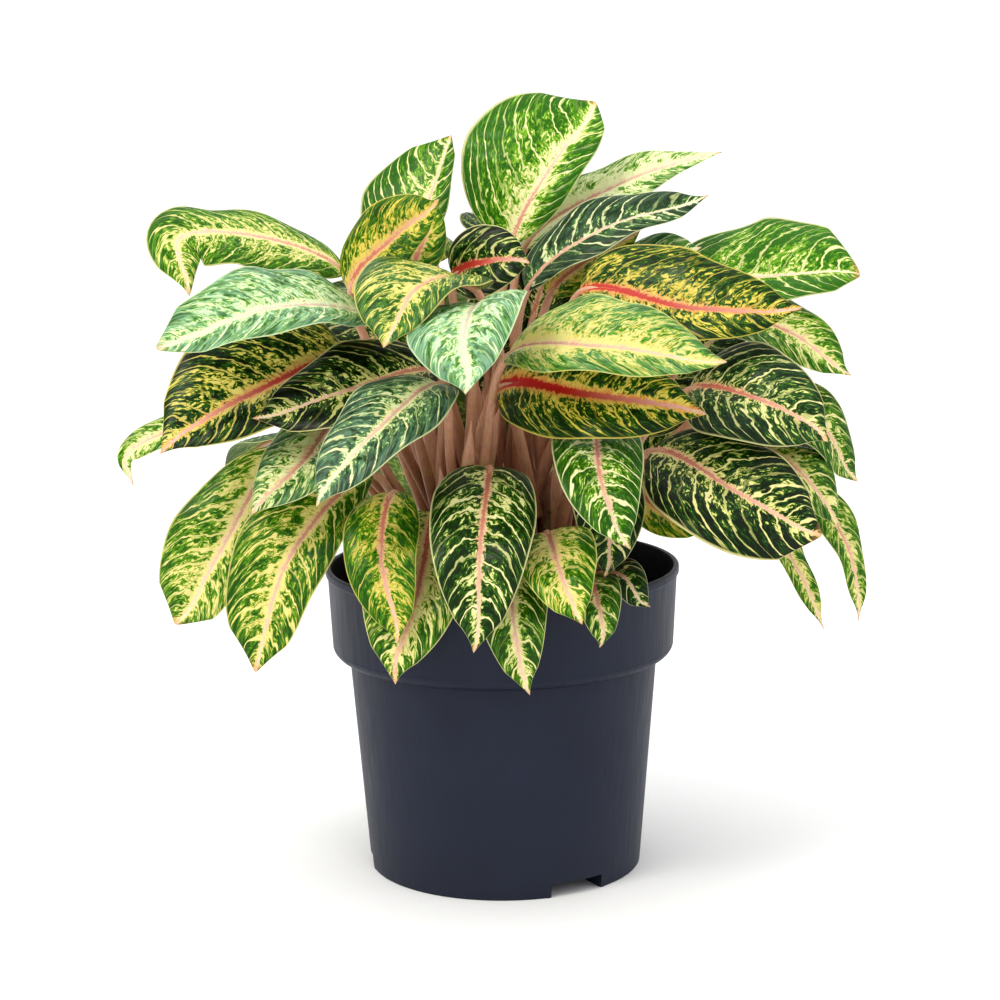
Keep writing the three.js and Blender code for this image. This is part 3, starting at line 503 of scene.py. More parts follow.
def leaf_tree():
    """One leaf: a blade spread over its midrib, and a stalk that runs on under it as the midrib's ridge."""
    t, given = new_tree("leaf_on_its_midrib", Float=(
        "Width", "Base roundness", "Tip sharpness", "Half scale", "Right share", "Fold", "Droop",
        "Thickness", "Blade start", "Length", "Quilting", "Wave", "Seed"),
        Vector=("Tone", "Tint", "Centre"), Material=("Blade finish", "Stalk finish"))
    curve = add(t, "GeometryNodeMeshToCurve", [given["Geometry"]])
    grid = add(t, "GeometryNodeMeshGrid", {"Size X": 1.0, "Size Y": 1.0,
                                           "Vertices X": CELLS_ALONG + 1, "Vertices Y": CELLS_ACROSS + 1})
    flat = add(t, SPLIT, [add(t, "GeometryNodeInputPosition")])
    # Cells crowd towards the base, the tip and the margins, so that each is round
    even = add(t, "ADD", [flat.outputs["X"], 0.5], use_clamp=True)
    swing = add(t, "SINE", [add(t, "MULTIPLY", [flat.outputs["X"], math.pi])])
    eased = add(t, "ADD", [add(t, "MULTIPLY", [swing, 0.5]), 0.5], use_clamp=True)
    share = add(t, "BETWEEN", [0.7, even, eased])
    spread = add(t, "SINE", [add(t, "MULTIPLY", [flat.outputs["Y"], math.pi])])
    reach = add(t, "ABSOLUTE", [spread])
    side = add(t, "SIGN", [spread])
    rest = add(t, "SUBTRACT", [1.0, share])

    rounded = add(t, "POWER", [share, given["Base roundness"]])
    pointed = add(t, "POWER", [rest, given["Tip sharpness"]])
    outline = add(t, "MULTIPLY", [add(t, "MULTIPLY", [rounded, pointed]), given["Half scale"]])
    drawn_out = add(t, RANGE, [share, 0.86, 1.0, 1.0, 0.45])
    half = add(t, "MULTIPLY", [add(t, "MULTIPLY", [outline, drawn_out]), given["Width"]])
    right = add(t, "MULTIPLY", [given["Right share"], 2.0])
    left = add(t, "SUBTRACT", [2.0, right])
    part = add(t, "BETWEEN", [add(t, "GREATER_THAN", [spread, 0.0]), left, right])
    own_half = add(t, "MULTIPLY", [half, part])
    across = add(t, "MULTIPLY", [own_half, spread])
    across_mm = add(t, "MULTIPLY", [add(t, "MULTIPLY", [own_half, reach]), 1 / MM])

    # Lateral veins leave the midrib forwards and bend on towards the tip as they near the margin
    factor = add(t, "BETWEEN", [share, given["Blade start"], 1.0])
    on_blade = add(t, "MULTIPLY", [add(t, "SUBTRACT", [factor, given["Blade start"]]), given["Length"]])
    along_mm = add(t, "MULTIPLY", [on_blade, 1 / MM])
    bend = add(t, "MULTIPLY_ADD", [add(t, "MULTIPLY", [reach, reach]), 0.7, 0.45])
    vein = add(t, "SUBTRACT", [along_mm, add(t, "MULTIPLY", [across_mm, bend])])

    # The skin quilts between the veins, and the margin waves
    phase = add(t, "MULTIPLY_ADD", [vein, 1 / VEIN_SPACING, add(t, "MULTIPLY", [side, SIDE_STAGGER])])
    wave = add(t, "COSINE", [add(t, "MULTIPLY", [phase, 2 * math.pi])])
    off_rib = add(t, RANGE, [reach, 0.02, 0.25])
    zone = add(t, "MULTIPLY", [off_rib, add(t, RANGE, [reach, 0.8, 1.0, 1.0, 0.0])])
    quilting = add(t, "MULTIPLY", [add(t, "MULTIPLY", [wave, given["Quilting"]]), zone])
    start = add(t, "MULTIPLY_ADD", [side, 1.7, given["Seed"]])
    swings = add(t, "SINE", [add(t, "MULTIPLY_ADD", [along_mm, 2 * math.pi / WAVE_LENGTH, start])])
    lift = add(t, "MULTIPLY", [given["Wave"], add(t, "POWER", [reach, 2.5])])
    relief = add(t, "MULTIPLY_ADD", [swings, lift, quilting])
    ends = add(t, "MULTIPLY", [add(t, "MULTIPLY", [share, rest]), 4.0])
    sag = add(t, "MULTIPLY", [given["Droop"], reach])
    slope = add(t, "MULTIPLY", [add(t, "SUBTRACT", [given["Fold"], sag]), reach])
    height = add(t, "MULTIPLY_ADD", [relief, ends, add(t, "MULTIPLY", [half, slope])])
    edge = add(t, "SUBTRACT", [1.0, add(t, "POWER", [reach, 10.0])])
    thick = add(t, "MULTIPLY", [add(t, "MULTIPLY", [given["Thickness"], 0.5]), edge])

    # Both skins follow the midrib and meet at the margin
    frames = {}
    for name in ("across", "upward"):
        stored = add(t, "READ_VECTOR", {"Name": name}).outputs["Attribute"]
        frames[name] = add(t, "GeometryNodeSampleCurve", {
            "Curves": curve, "Value": stored, "Factor": factor}, data_type="FLOAT_VECTOR")
    sideways = add(t, "VECTOR_SCALE", {0: frames["across"], "Scale": across})
    spot = add(t, "VECTOR_ADD", [frames["across"].outputs["Position"], sideways])
    skins = []
    for under in (1.0, 0.0):
        level = add(t, "SUBTRACT" if under else "ADD", [height, thick])
        raised = add(t, "VECTOR_SCALE", {0: frames["upward"], "Scale": level})
        skin = grid if under else add(t, "GeometryNodeFlipFaces", [grid])
        for name, value in (("leaf_place", [share, side, under]), ("vein_place", [vein, across_mm, reach])):
            skin = add(t, "STORE_VECTOR", {"Geometry": skin, "Name": name, "Value": add(t, JOIN, value)})
        place = add(t, "VECTOR_ADD", [spot, raised])
        skins.append(add(t, "GeometryNodeSetPosition", {"Geometry": skin, "Position": place}))
    joined = add(t, "GeometryNodeJoinGeometry", [skins])
    closed = add(t, "GeometryNodeMergeByDistance", {"Geometry": joined, "Distance": 0.02 * MM})
    blade = add(t, "GeometryNodeSetMaterial", {"Geometry": closed, "Material": given["Blade finish"]})

    girth = add(t, "READ_NUMBER", {"Name": "girth"}).outputs["Attribute"]
    sink = add(t, "READ_VECTOR", {"Name": "sink"}).outputs["Attribute"]
    lowered = add(t, "GeometryNodeSetPosition", {"Geometry": curve, "Offset": sink})
    ring = add(t, "GeometryNodeCurvePrimitiveCircle", {"Resolution": STALK_SIDES, "Radius": 1.0})
    tube = add(t, "GeometryNodeCurveToMesh", {
        "Curve": lowered, "Profile Curve": ring, "Scale": girth, "Fill Caps": True})
    stalk = add(t, "GeometryNodeSetMaterial", {"Geometry": tube, "Material": given["Stalk finish"]})
    whole = add(t, "GeometryNodeJoinGeometry", [[blade, stalk]])
    for label in ("Tone", "Tint", "Centre"):
        whole = add(t, "STORE_VECTOR", {"Geometry": whole, "Name": label.lower(), "Value": given[label]})
    smooth = add(t, "GeometryNodeSetShadeSmooth", {"Geometry": whole, "Shade Smooth": True})
    add(t, "NodeGroupOutput", [add(t, "GeometryNodeRealizeInstances", [smooth])])
    return t


def lathe_tree():
    """A closed outline of radius and height, given as points, turned about the upright axis."""
    t, given = new_tree("turned_on_an_upright_axis", Int=("Sides", "Outline points"),
                        Float=("Roughness",), Material=("Finish",))
    rows = add(t, "SUBTRACT", [given["Outline points"], 1.0])
    columns = add(t, "ADD", [given["Sides"], 1.0])
    grid = add(t, "GeometryNodeMeshGrid", {
        "Size X": 1.0, "Size Y": 1.0, "Vertices X": columns, "Vertices Y": given["Outline points"]})
    flat = add(t, SPLIT, [add(t, "GeometryNodeInputPosition")])
    angle = add(t, "MULTIPLY", [flat.outputs["X"], 2 * math.pi])
    row = add(t, "MULTIPLY", [add(t, "ADD", [flat.outputs["Y"], 0.5]), rows])
    outline = add(t, "GeometryNodeSampleIndex", {
        "Geometry": given["Geometry"], "Value": add(t, "GeometryNodeInputPosition"),
        "Index": add(t, "ROUND", [row])}, data_type="FLOAT_VECTOR")
    radius, _, height = add(t, SPLIT, [outline]).outputs
    x = add(t, "MULTIPLY", [radius, add(t, "COSINE", [angle])])
    y = add(t, "MULTIPLY", [radius, add(t, "SINE", [angle])])
    turned = add(t, "GeometryNodeSetPosition", {"Geometry": grid, "Position": add(t, JOIN, [x, y, height])})
    closed = add(t, "GeometryNodeMergeByDistance", {"Geometry": turned, "Distance": 0.01 * MM})
    # Lumps of 9 mm on upward faces only, as tipped compost settles
    lumps = add(t, NOISE, {"Vector": add(t, "GeometryNodeInputPosition"), "Scale": 110.0, "Detail": 3.0})
    lump = add(t, "SUBTRACT", [lumps.outputs["Fac"], 0.5])
    rise = add(t, "MULTIPLY", [lump, given["Roughness"]])
    facing = add(t, SPLIT, [add(t, "GeometryNodeInputNormal")]).outputs["Z"]
    raised = add(t, "GeometryNodeSetPosition", {
        "Geometry": closed, "Selection": add(t, "GREATER_THAN", [facing, 0.6]),
        "Offset": add(t, JOIN, [0.0, 0.0, rise])})
    return end_tree(t, raised, given["Finish"])


def stem_tree():
    """Round stems along their own lines, as thick as each line's girth, with leaf scar rings."""
    t, given = new_tree("stems_on_their_lines", Int=("Sides",), Float=("Ring spacing", "Ring height"),
                        Material=("Finish",))
    curve = add(t, "GeometryNodeMeshToCurve", [given["Geometry"]])
    girth = add(t, "READ_NUMBER", {"Name": "girth"}).outputs["Attribute"]
    height = add(t, SPLIT, [add(t, "GeometryNodeInputPosition")]).outputs["Z"]
    turns = add(t, "DIVIDE", [height, given["Ring spacing"]])
    bump = add(t, "POWER", [add(t, "FRACT", [turns]), 4.0])
    radius = add(t, "MULTIPLY_ADD", [bump, given["Ring height"], girth])
    ring = add(t, "GeometryNodeCurvePrimitiveCircle", {"Resolution": given["Sides"], "Radius": 1.0})
    tube = add(t, "GeometryNodeCurveToMesh", {
        "Curve": curve, "Profile Curve": ring, "Scale": radius, "Fill Caps": True})
    smooth = add(t, "GeometryNodeSetShadeSmooth", {"Geometry": tube, "Shade Smooth": True})
    return end_tree(t, smooth, given["Finish"])


def crumb_tree():
    """Crumbs, bark chips and twigs strewn over the soil's upward faces."""
    t, given = new_tree("strewn_crumbs", Float=("Density", "Reach"), Vector=("Smallest", "Largest"),
                        Int=("Seed",), Material=("Finish",))
    facing = add(t, SPLIT, [add(t, "GeometryNodeInputNormal")]).outputs["Z"]
    x, y, _ = add(t, SPLIT, [add(t, "GeometryNodeInputPosition")]).outputs
    off_axis = add(t, "VECTOR_LENGTH", [add(t, JOIN, [x, y, 0.0])]).outputs["Value"]
    upward = add(t, "GREATER_THAN", [facing, 0.6])
    inside = add(t, "LESS_THAN", [off_axis, given["Reach"]])
    strewn = add(t, "GeometryNodeDistributePointsOnFaces", {
        "Mesh": given["Geometry"], "Selection": add(t, "MULTIPLY", [upward, inside]),
        "Density": given["Density"], "Seed": given["Seed"]})
    ball = add(t, "GeometryNodeMeshIcoSphere", {"Radius": 1.0, "Subdivisions": 1})
    corner = add(t, NOISE, {"Vector": add(t, "GeometryNodeInputPosition"), "Scale": 1.7, "Detail": 0.0})
    shift = add(t, "VECTOR_SUBTRACT", [corner.outputs["Color"], (0.5, 0.5, 0.5)])
    dent = add(t, "VECTOR_SCALE", {0: shift, "Scale": 1.3})
    chip = add(t, "GeometryNodeSetPosition", {"Geometry": ball, "Offset": dent})
    turn = add(t, "FunctionNodeRandomValue", {
        "Min": (-0.5, -0.5, 0.0), "Max": (0.5, 0.5, 6.28), "Seed": given["Seed"]}, data_type="FLOAT_VECTOR")
    size = add(t, "FunctionNodeRandomValue", {
        "Min": given["Smallest"], "Max": given["Largest"], "Seed": given["Seed"]}, data_type="FLOAT_VECTOR")
    placed = add(t, "GeometryNodeInstanceOnPoints", {
        "Points": strewn, "Instance": chip, "Rotation": turn, "Scale": size})
    real = add(t, "GeometryNodeRealizeInstances", [placed])
    flat = add(t, "GeometryNodeSetShadeSmooth", {"Geometry": real, "Shade Smooth": False})
    return end_tree(t, flat, given["Finish"])


def guide(name, points, edges=None, **attributes):
    """Points in metres, joined in a chain unless edges are given, with point attributes."""
    mesh = bpy.data.meshes.new(name + "_guide")
    edges = edges or [(i, i + 1) for i in range(len(points) - 1)]
    mesh.from_pydata([tuple(map(float, point)) for point in points], edges, [])
    for label, values in attributes.items():
        values = np.asarray(values, dtype=np.float32)
        kind, field = ("FLOAT", "value") if values.ndim == 1 else ("FLOAT_VECTOR", "vector")
        mesh.attributes.new(label, kind, "POINT").data.foreach_set(field, values.ravel())
    return mesh


def made_plain(piece):
    """Keep the plain mesh that the piece's modifiers make, and drop the modifiers."""
    graph = bpy.context.evaluated_depsgraph_get()
    mesh = bpy.data.meshes.new_from_object(
        piece.evaluated_get(graph), preserve_all_data_layers=True, depsgraph=graph)
    piece.modifiers.clear()
    piece.data = mesh
    return piece


def grow(name, start, tree, inputs):
    """Run a tree on a mesh and keep the plain mesh that it makes."""
    piece = bpy.data.objects.new(name, start)
    bpy.context.scene.collection.objects.link(piece)
    modifier = piece.modifiers.new(name, "NODES")
    modifier.node_group = tree
    for item in tree.interface.items_tree:
        if item.in_out == "INPUT" and item.name in inputs:
            modifier[item.identifier] = inputs[item.name]
    made_plain(piece).data.name = name
    return piece


def keep(piece, node):
    """The piece rides with the plant, and stands for a CAD node if one is named."""
    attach(piece, BODY)
    if node:
        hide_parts(node)


def unit(vector):
    return vector / np.linalg.norm(vector)


def flattened(vector, along):
    """A direction laid on the plane that a second direction stands on."""
    return unit(vector - along * np.dot(vector, along))


def spline(points):
    """Samples on the centripetal curve through the points, with a fixed number for each span."""
    points = [np.array(point, dtype=float) for point in points]
    ends = [2 * points[0] - points[1], *points, 2 * points[-1] - points[-2]]
    samples = []
    for a, b, c, d in zip(ends, ends[1:], ends[2:], ends[3:]):
        gap_a, gap_b, gap_c = (np.linalg.norm(q - p) ** 0.5 for p, q in ((a, b), (b, c), (c, d)))
        leave = ((b - a) / gap_a - (c - a) / (gap_a + gap_b) + (c - b) / gap_b) * gap_b
        arrive = ((c - b) / gap_b - (d - b) / (gap_b + gap_c) + (d - c) / gap_c) * gap_b
        for i in range(SPAN_SAMPLES):
            u = i / SPAN_SAMPLES
            samples.append(b + leave * u + (3 * (c - b) - 2 * leave - arrive) * u * u
                           + (2 * (b - c) + leave + arrive) * u ** 3)
    return np.array([*samples, points[-1]])


def leaf_route(cane, root, blade):
    """Points up the stalk and along the midrib, in mm, their shares of the whole length, the share at
    which the blade starts, and the length."""
    foot, top = cane
    degrees, height = root
    climb = (height - CANE_BOTTOM) / (top[2] - CANE_BOTTOM)
    middle = np.array([foot[0] + (top[0] - foot[0]) * climb, foot[1] + (top[1] - foot[1]) * climb, height])
    radius = CANE_FOOT_RADIUS + (CANE_TOP_RADIUS - CANE_FOOT_RADIUS) * climb
    out = np.array([math.cos(math.radians(degrees)), math.sin(math.radians(degrees)), 0.0])
    start = middle + out * (radius + PETIOLE_FOOT + CANE_CLEARANCE)
    way = np.array(blade[0]) - start
    rise = flattened(np.array([0.0, 0.0, 1.0]), unit(way))
    bend = start + way * PETIOLE_BEND + rise * np.linalg.norm(way) * PETIOLE_BOW
    path = spline([start, bend, *blade])
    travelled = np.concatenate([[0], np.cumsum(np.linalg.norm(np.diff(path, axis=0), axis=1))])
    stalk_share = travelled[2 * SPAN_SAMPLES] / travelled[-1]
    shares = np.concatenate([np.linspace(0, stalk_share, STALK_STATIONS, endpoint=False),
                             np.linspace(stalk_share, 1, BLADE_STATIONS)])
    points = np.stack([np.interp(shares * travelled[-1], travelled, path[:, k]) for k in range(3)], axis=1)
    return points, shares, stalk_share, travelled[-1]


def make_leaf(name, cane, leaf, tree, finishes, seed):
    points, shares, stalk_share, length = leaf_route(cane, leaf["root"], leaf["blade"])
    along = np.gradient(points, axis=0)
    along /= np.linalg.norm(along, axis=1)[:, None]
    on_blade = (shares - stalk_share) / (1 - stalk_share)

    # The blade faces its own way at its middle, and turns no more than it must from there
    middle = int(np.argmax(on_blade >= BLADE_MIDDLE))
    across = np.zeros_like(points)
    across[middle] = unit(np.cross(along[middle], np.array(leaf["face"], dtype=float)))
    for i in range(middle, 0, -1):
        across[i - 1] = flattened(across[i], along[i - 1])
    for i in range(middle, len(points) - 1):
        across[i + 1] = flattened(across[i], along[i + 1])
    twist = np.radians(leaf.get("twist", 0)) * np.maximum(0, on_blade - BLADE_MIDDLE)
    upward = np.cross(across, along)
    turned = across * np.cos(twist)[:, None] - upward * np.sin(twist)[:, None]
    upward = np.cross(turned, along)
    on_blade = np.clip(on_blade, 0, 1)
    hook = TIP_HOOK * math.sin(seed * 2.4) * np.clip((on_blade - 0.84) / 0.16, 0, 1) ** 2
    points = points + turned * hook[:, None]

    # The stalk thins into the ridge, which sinks under the blade
    stalk = PETIOLE_FOOT + (PETIOLE_END - PETIOLE_FOOT) * np.clip(shares / stalk_share, 0, 1)
    ridge = PETIOLE_END * RIDGE_SHARE * (1 - on_blade) ** 0.8 + RIDGE_END
    settle = np.clip(on_blade / 0.1, 0, 1)
    girth = stalk * (1 - settle) + ridge * settle
    sink = -upward * (girth * RIDGE_SINK * settle)[:, None]
    seen = np.where(shares < stalk_share, shares / stalk_share - 1, on_blade)
    place = np.stack([seen, np.zeros_like(seen), np.zeros_like(seen)], axis=1)
    start = guide(name, points * MM, across=turned, upward=upward, girth=girth * MM, sink=sink * MM,
                  leaf_place=place)

    # The fifth tone value is the strength of the painted silvery sheen
    pale, dark, yellow, red, silver, centre_width, veins = leaf["tone"]
    roundness, sharpness = leaf.get("outline", (BASE_ROUNDNESS, TIP_SHARPNESS))
    widest = roundness / (roundness + sharpness)
    full = widest ** roundness * (1 - widest) ** sharpness
    piece = grow("visual_" + name, start, tree, {
        "Width": leaf["width"] * MM, "Base roundness": roundness, "Tip sharpness": sharpness,
        "Half scale": 0.5 / full, "Right share": leaf.get("right", 0.5),
        "Fold": math.tan(math.radians(leaf.get("fold", BLADE_FOLD))), "Droop": BLADE_DROOP,
        "Thickness": BLADE_THICKNESS * MM, "Blade start": float(stalk_share), "Length": float(length) * MM,
        "Quilting": QUILTING_HEIGHT * MM, "Wave": WAVE_HEIGHT * MM, "Seed": float(seed),
        "Tone": (pale, dark, yellow), "Tint": (red, silver, seed * 0.37),
        "Centre": (centre_width, veins, 0.0),
        "Blade finish": finishes["blade"], "Stalk finish": finishes["stalk"]})
    keep(piece, None if name.startswith("inner") else "leaf_" + name)


def arc(centre, radius, first, last, count=5):
    """Points on an arc in the outline's plane, from one angle in degrees to another."""
    angles = np.radians(np.linspace(first, last, count))
    return [(centre[0] + radius * math.cos(a), centre[1] + radius * math.sin(a)) for a in angles]


def body_radius(height):
    return FOOT_RADIUS + (NECK_RADIUS - FOOT_RADIUS) * height / (POT_HEIGHT - BAND_HEIGHT - SHOULDER_HEIGHT)


def turned_shapes(name, count, first_angle, build):
    """Solids repeated round the upright axis in one mesh; build adds one set under a turning matrix."""
    solid = bmesh.new()
    for i in range(count):
        build(solid, Matrix.Rotation(math.radians(first_angle + i * 360 / count), 4, "Z"))
    mesh = bpy.data.meshes.new(name)
    solid.to_mesh(mesh)
    solid.free()
    return mesh


def box_shape(solid, turn, size, place):
    shape = turn @ Matrix.Translation(Vector(place) * MM) @ Matrix.Diagonal((*(Vector(size) * MM), 1))
    bmesh.ops.create_cube(solid, size=1.0, matrix=shape)


def combined(piece, shapes, operation):
    """Join shapes to a piece or cut them out of it, and keep the plain mesh."""
    tool = bpy.data.objects.new(shapes.name, shapes)
    bpy.context.scene.collection.objects.link(tool)
    modifier = piece.modifiers.new(operation, "BOOLEAN")
    modifier.object = tool
    modifier.operation = operation
    modifier.solver = "EXACT"
    made_plain(piece)
    bpy.data.objects.remove(tool)


def outward(piece):
    """Faces turned outwards, and edges sharper than a moulded radius kept sharp."""
    solid = bmesh.new()
    solid.from_mesh(piece.data)
    bmesh.ops.recalc_face_normals(solid, faces=solid.faces)
    solid.to_mesh(piece.data)
    solid.free()
    piece.data.shade_smooth()
    piece.data.set_sharp_from_angle(angle=math.radians(SHARP_EDGE))


def make_pot(tree, finish):
    band_foot = POT_HEIGHT - BAND_HEIGHT
    neck = band_foot - SHOULDER_HEIGHT
    lip, inner = RIM_RADIUS - LIP_WIDTH, RIM_RADIUS - LIP_WIDTH - WALL
    foot, inner_foot = FOOT_RADIUS - FOOT_ROUNDING, FOOT_RADIUS - WALL - FOOT_ROUNDING
    shoulder = [(NECK_RADIUS + (BAND_FOOT_RADIUS - NECK_RADIUS) * math.sin(a),
                 neck + SHOULDER_HEIGHT * (1 - math.cos(a))) for a in np.radians(np.linspace(0, 82, 8))]
    outline = [
        # Up the outside, from the foot over the shoulder and the band to the lip
        *arc((foot, FOOT_ROUNDING), FOOT_ROUNDING, -90, 0),
        (body_radius(4), 4), (body_radius(60), 60), (body_radius(neck - 4), neck - 4),
        *shoulder,
        *arc((BAND_FOOT_RADIUS - 0.7, band_foot + 0.7), 0.7, -45, 0, 4),
        (lip - 0.1, POT_HEIGHT - LIP_HEIGHT - 1.6),
        *arc((RIM_RADIUS - 0.6, POT_HEIGHT - LIP_HEIGHT), 0.6, -60, 0, 4),
        *arc((RIM_RADIUS - 0.9, POT_HEIGHT - 0.9), 0.9, 0, 90),
        # Down the inside to the floor, and back out under it
        *arc((inner + 0.8, POT_HEIGHT - 0.8), 0.8, 90, 180),
        (BAND_FOOT_RADIUS - WALL, band_foot + WALL), (NECK_RADIUS - WALL, neck + WALL / 2),
        (body_radius(FLOOR_TOP + 3) - WALL, FLOOR_TOP + 3), (body_radius(FLOOR_TOP) - WALL - 2, FLOOR_TOP),
        (0, FLOOR_TOP), (0, FLOOR_UNDERSIDE), (inner_foot, FLOOR_UNDERSIDE), (inner_foot, 0), (foot, 0)]
    points = [(radius * MM, 0.0, height * MM) for radius, height in outline]
    piece = grow("visual_pot", guide("pot", points), tree, {
        "Sides": POT_SIDES, "Outline points": len(points), "Roughness": 0.0, "Finish": finish})

    def webs(solid, turn):
        middle = FOOT_RADIUS - WALL - WEB_LENGTH / 2
        for side in (-1, 1):
            box_shape(solid, turn, (WEB_LENGTH, WALL, FLOOR_UNDERSIDE + 0.5),
                      (middle, side * (NOTCH_WIDTH + WALL) / 2, FLOOR_UNDERSIDE / 2 + 0.25))

    def notch(solid, turn):
        box_shape(solid, turn, (WEB_LENGTH + WALL * 5, NOTCH_WIDTH, NOTCH_HEIGHT * 2), (FOOT_RADIUS, 0, 0))

    def drain_hole(solid, turn):
        middle = turn @ Matrix.Translation(Vector((DRAIN_HOLE_CIRCLE, 0, FLOOR_TOP)) * MM)
        radius = DRAIN_HOLE_RADIUS * MM
        bmesh.ops.create_cone(solid, cap_ends=True, segments=32, radius1=radius, radius2=radius,
                              depth=WALL * 4 * MM, matrix=middle)

    outward(piece)
    combined(piece, turned_shapes("webs", NOTCH_COUNT, FIRST_NOTCH_ANGLE, webs), "UNION")
    combined(piece, turned_shapes("notches", NOTCH_COUNT, FIRST_NOTCH_ANGLE, notch), "DIFFERENCE")
    combined(piece, turned_shapes("drain_holes", DRAIN_HOLE_COUNT, 0, drain_hole), "DIFFERENCE")
    outward(piece)
    piece.data.materials.clear()
    piece.data.materials.append(finish)
    keep(piece, "pot")


def make_soil(tree, strewer, finish):
    neck = POT_HEIGHT - BAND_HEIGHT - SHOULDER_HEIGHT
    inset = WALL + GAP
    edge = BAND_FOOT_RADIUS - inset
    # The surface crowns in the middle and dips where it meets the wall
    crown = [(edge * share,
              SOIL_LEVEL + SOIL_CROWN * (1 - share ** 1.6) - 2.5 * max(0, share - 0.92) / 0.08)
             for share in np.linspace(1, 0, 46)]
    outline = [(0, FLOOR_TOP + GAP), (body_radius(FLOOR_TOP) - inset - 2, FLOOR_TOP + GAP),
               (NECK_RADIUS - inset, neck + WALL / 2), (edge, POT_HEIGHT - BAND_HEIGHT + WALL), *crown]
    points = [(radius * MM, 0.0, height * MM) for radius, height in outline]
    bed = grow("visual_soil", guide("soil", points), tree, {
        "Sides": SOIL_SIDES, "Outline points": len(points), "Roughness": SOIL_ROUGHNESS * MM,
        "Finish": finish})
    outward(bed)
    keep(bed, "soil")
    for name, (density, smallest, largest, seed) in SOIL_BITS.items():
        bits = grow("visual_soil_" + name, bed.data.copy(), strewer, {
            "Density": float(density), "Reach": (edge - largest[0] - 1) * MM, "Seed": seed,
            "Smallest": tuple(np.array(smallest) * MM), "Largest": tuple(np.array(largest) * MM),
            "Finish": finish})
        keep(bits, None)


def make_cane(name, cane, tree, finish):
    foot, top = np.array([*cane[0], CANE_BOTTOM], dtype=float), np.array(cane[1], dtype=float)
    shares = np.append(np.linspace(0, 0.985, 78), [0.995, 1.0])
    points = foot + (top - foot) * shares[:, None]
    girth = CANE_FOOT_RADIUS + (CANE_TOP_RADIUS - CANE_FOOT_RADIUS) * shares
    # The growing tip rounds off over the last fifth
    girth *= np.clip((1.002 - shares) / 0.22, 0, 1) ** 0.7
    piece = grow("visual_cane_" + name, guide(name, points * MM, girth=girth * MM), tree, {
        "Sides": CANE_SIDES, "Ring spacing": RING_SPACING * MM, "Ring height": RING_HEIGHT * MM,
        "Finish": finish})
    keep(piece, "cane_" + name)


def make_spears(tree, finish):
    """Young stalks that fill the crown between the canes, each ending in a rolled leaf."""
    chance = np.random.default_rng(SPEAR_SEED)
    points, edges, girths, places = [], [], [], []
    for i in range(SPEAR_COUNT):
        cane = list(CANES.values())[i % len(CANES)]
        angle, lean = chance.uniform(0, 2 * math.pi), chance.uniform(*SPEAR_LEAN)
        out = np.array([math.cos(angle), math.sin(angle), 0.0])
        foot = np.array([*cane[0], SOIL_LEVEL - 4.0]) + out * chance.uniform(*SPEAR_START)
        top = foot + out * lean + np.array([0, 0, chance.uniform(*SPEAR_RISE)])
        inwards, upwards = SPEAR_BOW
        for station, share in enumerate(np.linspace(0, 1, SPEAR_STATIONS)):
            bulge = math.sin(share * math.pi)
            bow = np.array([0, 0, upwards]) * bulge - out * inwards * bulge
            swell = 1.3 * math.sin(math.pi * min(1, max(0, (share - 0.45) / 0.55))) ** 2
            points.append((foot + (top - foot) * share + bow) * MM)
            girths.append(max(0.25, (3.0 - 0.9 * share + swell) * min(1, (1 - share) * 5) ** 0.8) * MM)
            places.append((share - 1, 0, 0))
            if station:
                edges.append((len(points) - 2, len(points) - 1))
    start = guide("spears", points, girth=girths, leaf_place=places, edges=edges)
    piece = grow("visual_young_stalks", start, tree, {
        "Sides": SPEAR_SIDES, "Ring spacing": RING_SPACING * MM, "Ring height": 0.0, "Finish": finish})
    keep(piece, None)


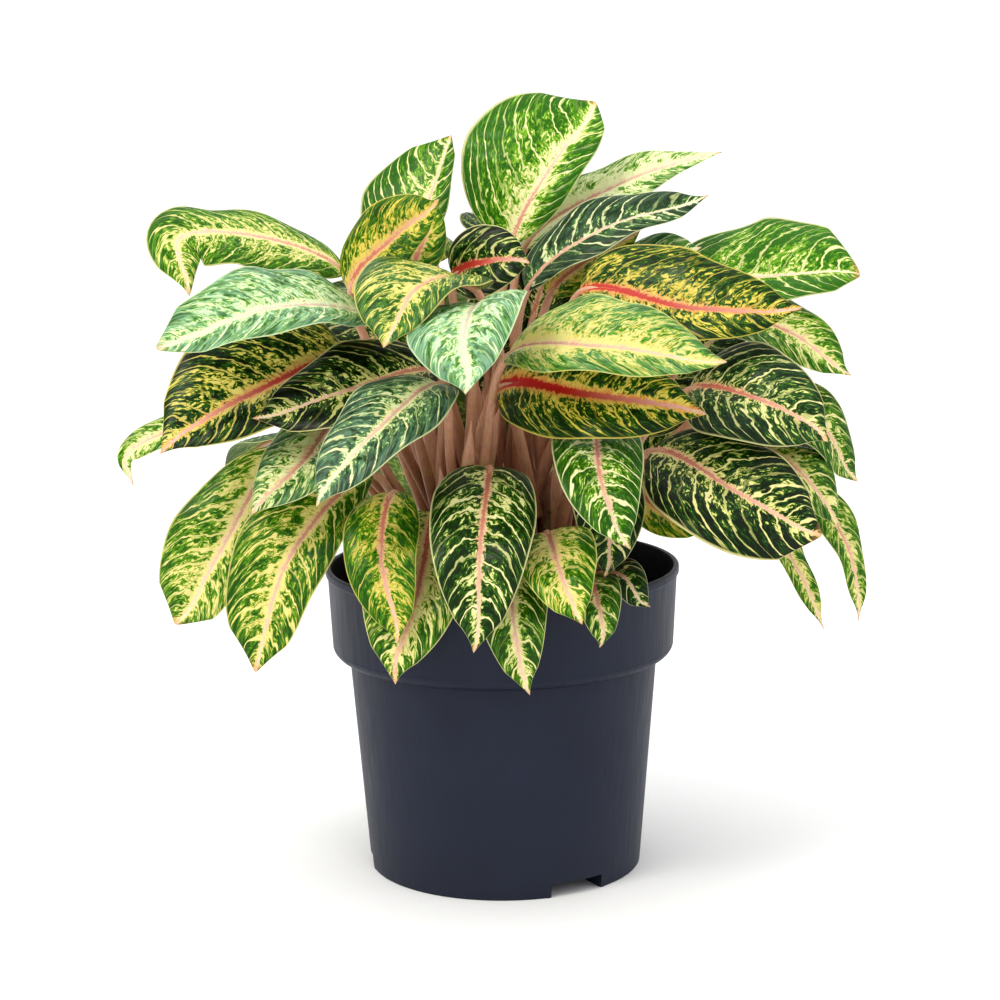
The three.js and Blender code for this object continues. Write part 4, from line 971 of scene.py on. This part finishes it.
def make_floor():
    """Matt white studio paper: even and without shine."""
    material, t = new_material("matt_white_studio_paper")
    # Paper fibres of 2 mm, hardly seen
    at = add(t, "ShaderNodeTexCoord").outputs["Object"]
    fibres = add(t, NOISE, {"Vector": at, "Scale": 500.0}).outputs["Fac"]
    colour = add(t, "BLEND", [fibres, "#f2f2f2", "#f8f8f8"])
    shader = add(t, "ShaderNodeBsdfPrincipled", {"Base Color": colour, "Roughness": 0.9})
    add(t, "ShaderNodeOutputMaterial", {"Surface": shader})
    mesh = bpy.data.meshes.new("floor")
    corners = [(x * FLOOR_REACH, y * FLOOR_REACH, 0) for x, y in ((-1, -1), (1, -1), (1, 1), (-1, 1))]
    mesh.from_pydata(corners, [], [(0, 1, 2, 3)])
    mesh.materials.append(material)
    floor = bpy.data.objects.new("floor", mesh)
    bpy.context.scene.collection.objects.link(floor)


def make_studio():
    """A white surround, and soft boxes aimed at the middle of the plant."""
    scene = bpy.context.scene
    world = bpy.data.worlds.new("white_studio")
    world.use_nodes = True
    backdrop = world.node_tree.nodes["Background"]
    backdrop.inputs["Color"].default_value = (1, 1, 1, 1)
    backdrop.inputs["Strength"].default_value = WORLD_STRENGTH
    scene.world = world
    scene.view_settings.view_transform = "Standard"
    scene.view_settings.look = "Medium High Contrast"
    for name, (place, side, watts, colour) in LIGHTS.items():
        lamp = bpy.data.lights.new(name, "AREA")
        lamp.shape = "RECTANGLE"
        lamp.size = lamp.size_y = side
        lamp.energy = watts
        lamp.color = linear(colour)[:3]
        holder = bpy.data.objects.new(name, lamp)
        holder.location = place
        holder.rotation_euler = (Vector(LIGHT_AIM) - Vector(place)).to_track_quat("-Z", "Y").to_euler()
        scene.collection.objects.link(holder)


def make_camera():
    lens = bpy.data.cameras.new("camera")
    lens.lens, lens.sensor_width = CAMERA_LENS, CAMERA_SENSOR
    camera = bpy.data.objects.new("camera", lens)
    tilt = Matrix.Rotation(math.pi / 2 - CAMERA_PITCH, 4, "X") @ Matrix.Rotation(-CAMERA_ROLL, 4, "Z")
    camera.matrix_world = Matrix.Translation(CAMERA_PLACE) @ tilt
    bpy.context.scene.collection.objects.link(camera)
    bpy.context.scene.camera = camera


make_camera()
make_studio()
make_floor()
turning = lathe_tree()
make_pot(turning, pot_material())
make_soil(turning, crumb_tree(), soil_material())
stem_growth, cane_finish = stem_tree(), cane_material()
leaf_growth = leaf_tree()
finishes = {"blade": blade_material(), "stalk": stalk_material()}
make_spears(stem_growth, finishes["stalk"])
count = 0
for place, leaves in LEAVES.items():
    make_cane(place, CANES[place], stem_growth, cane_finish)
    for name, shape in leaves.items():
        count += 1
        make_leaf(name, CANES[place], shape, leaf_growth, finishes, count)
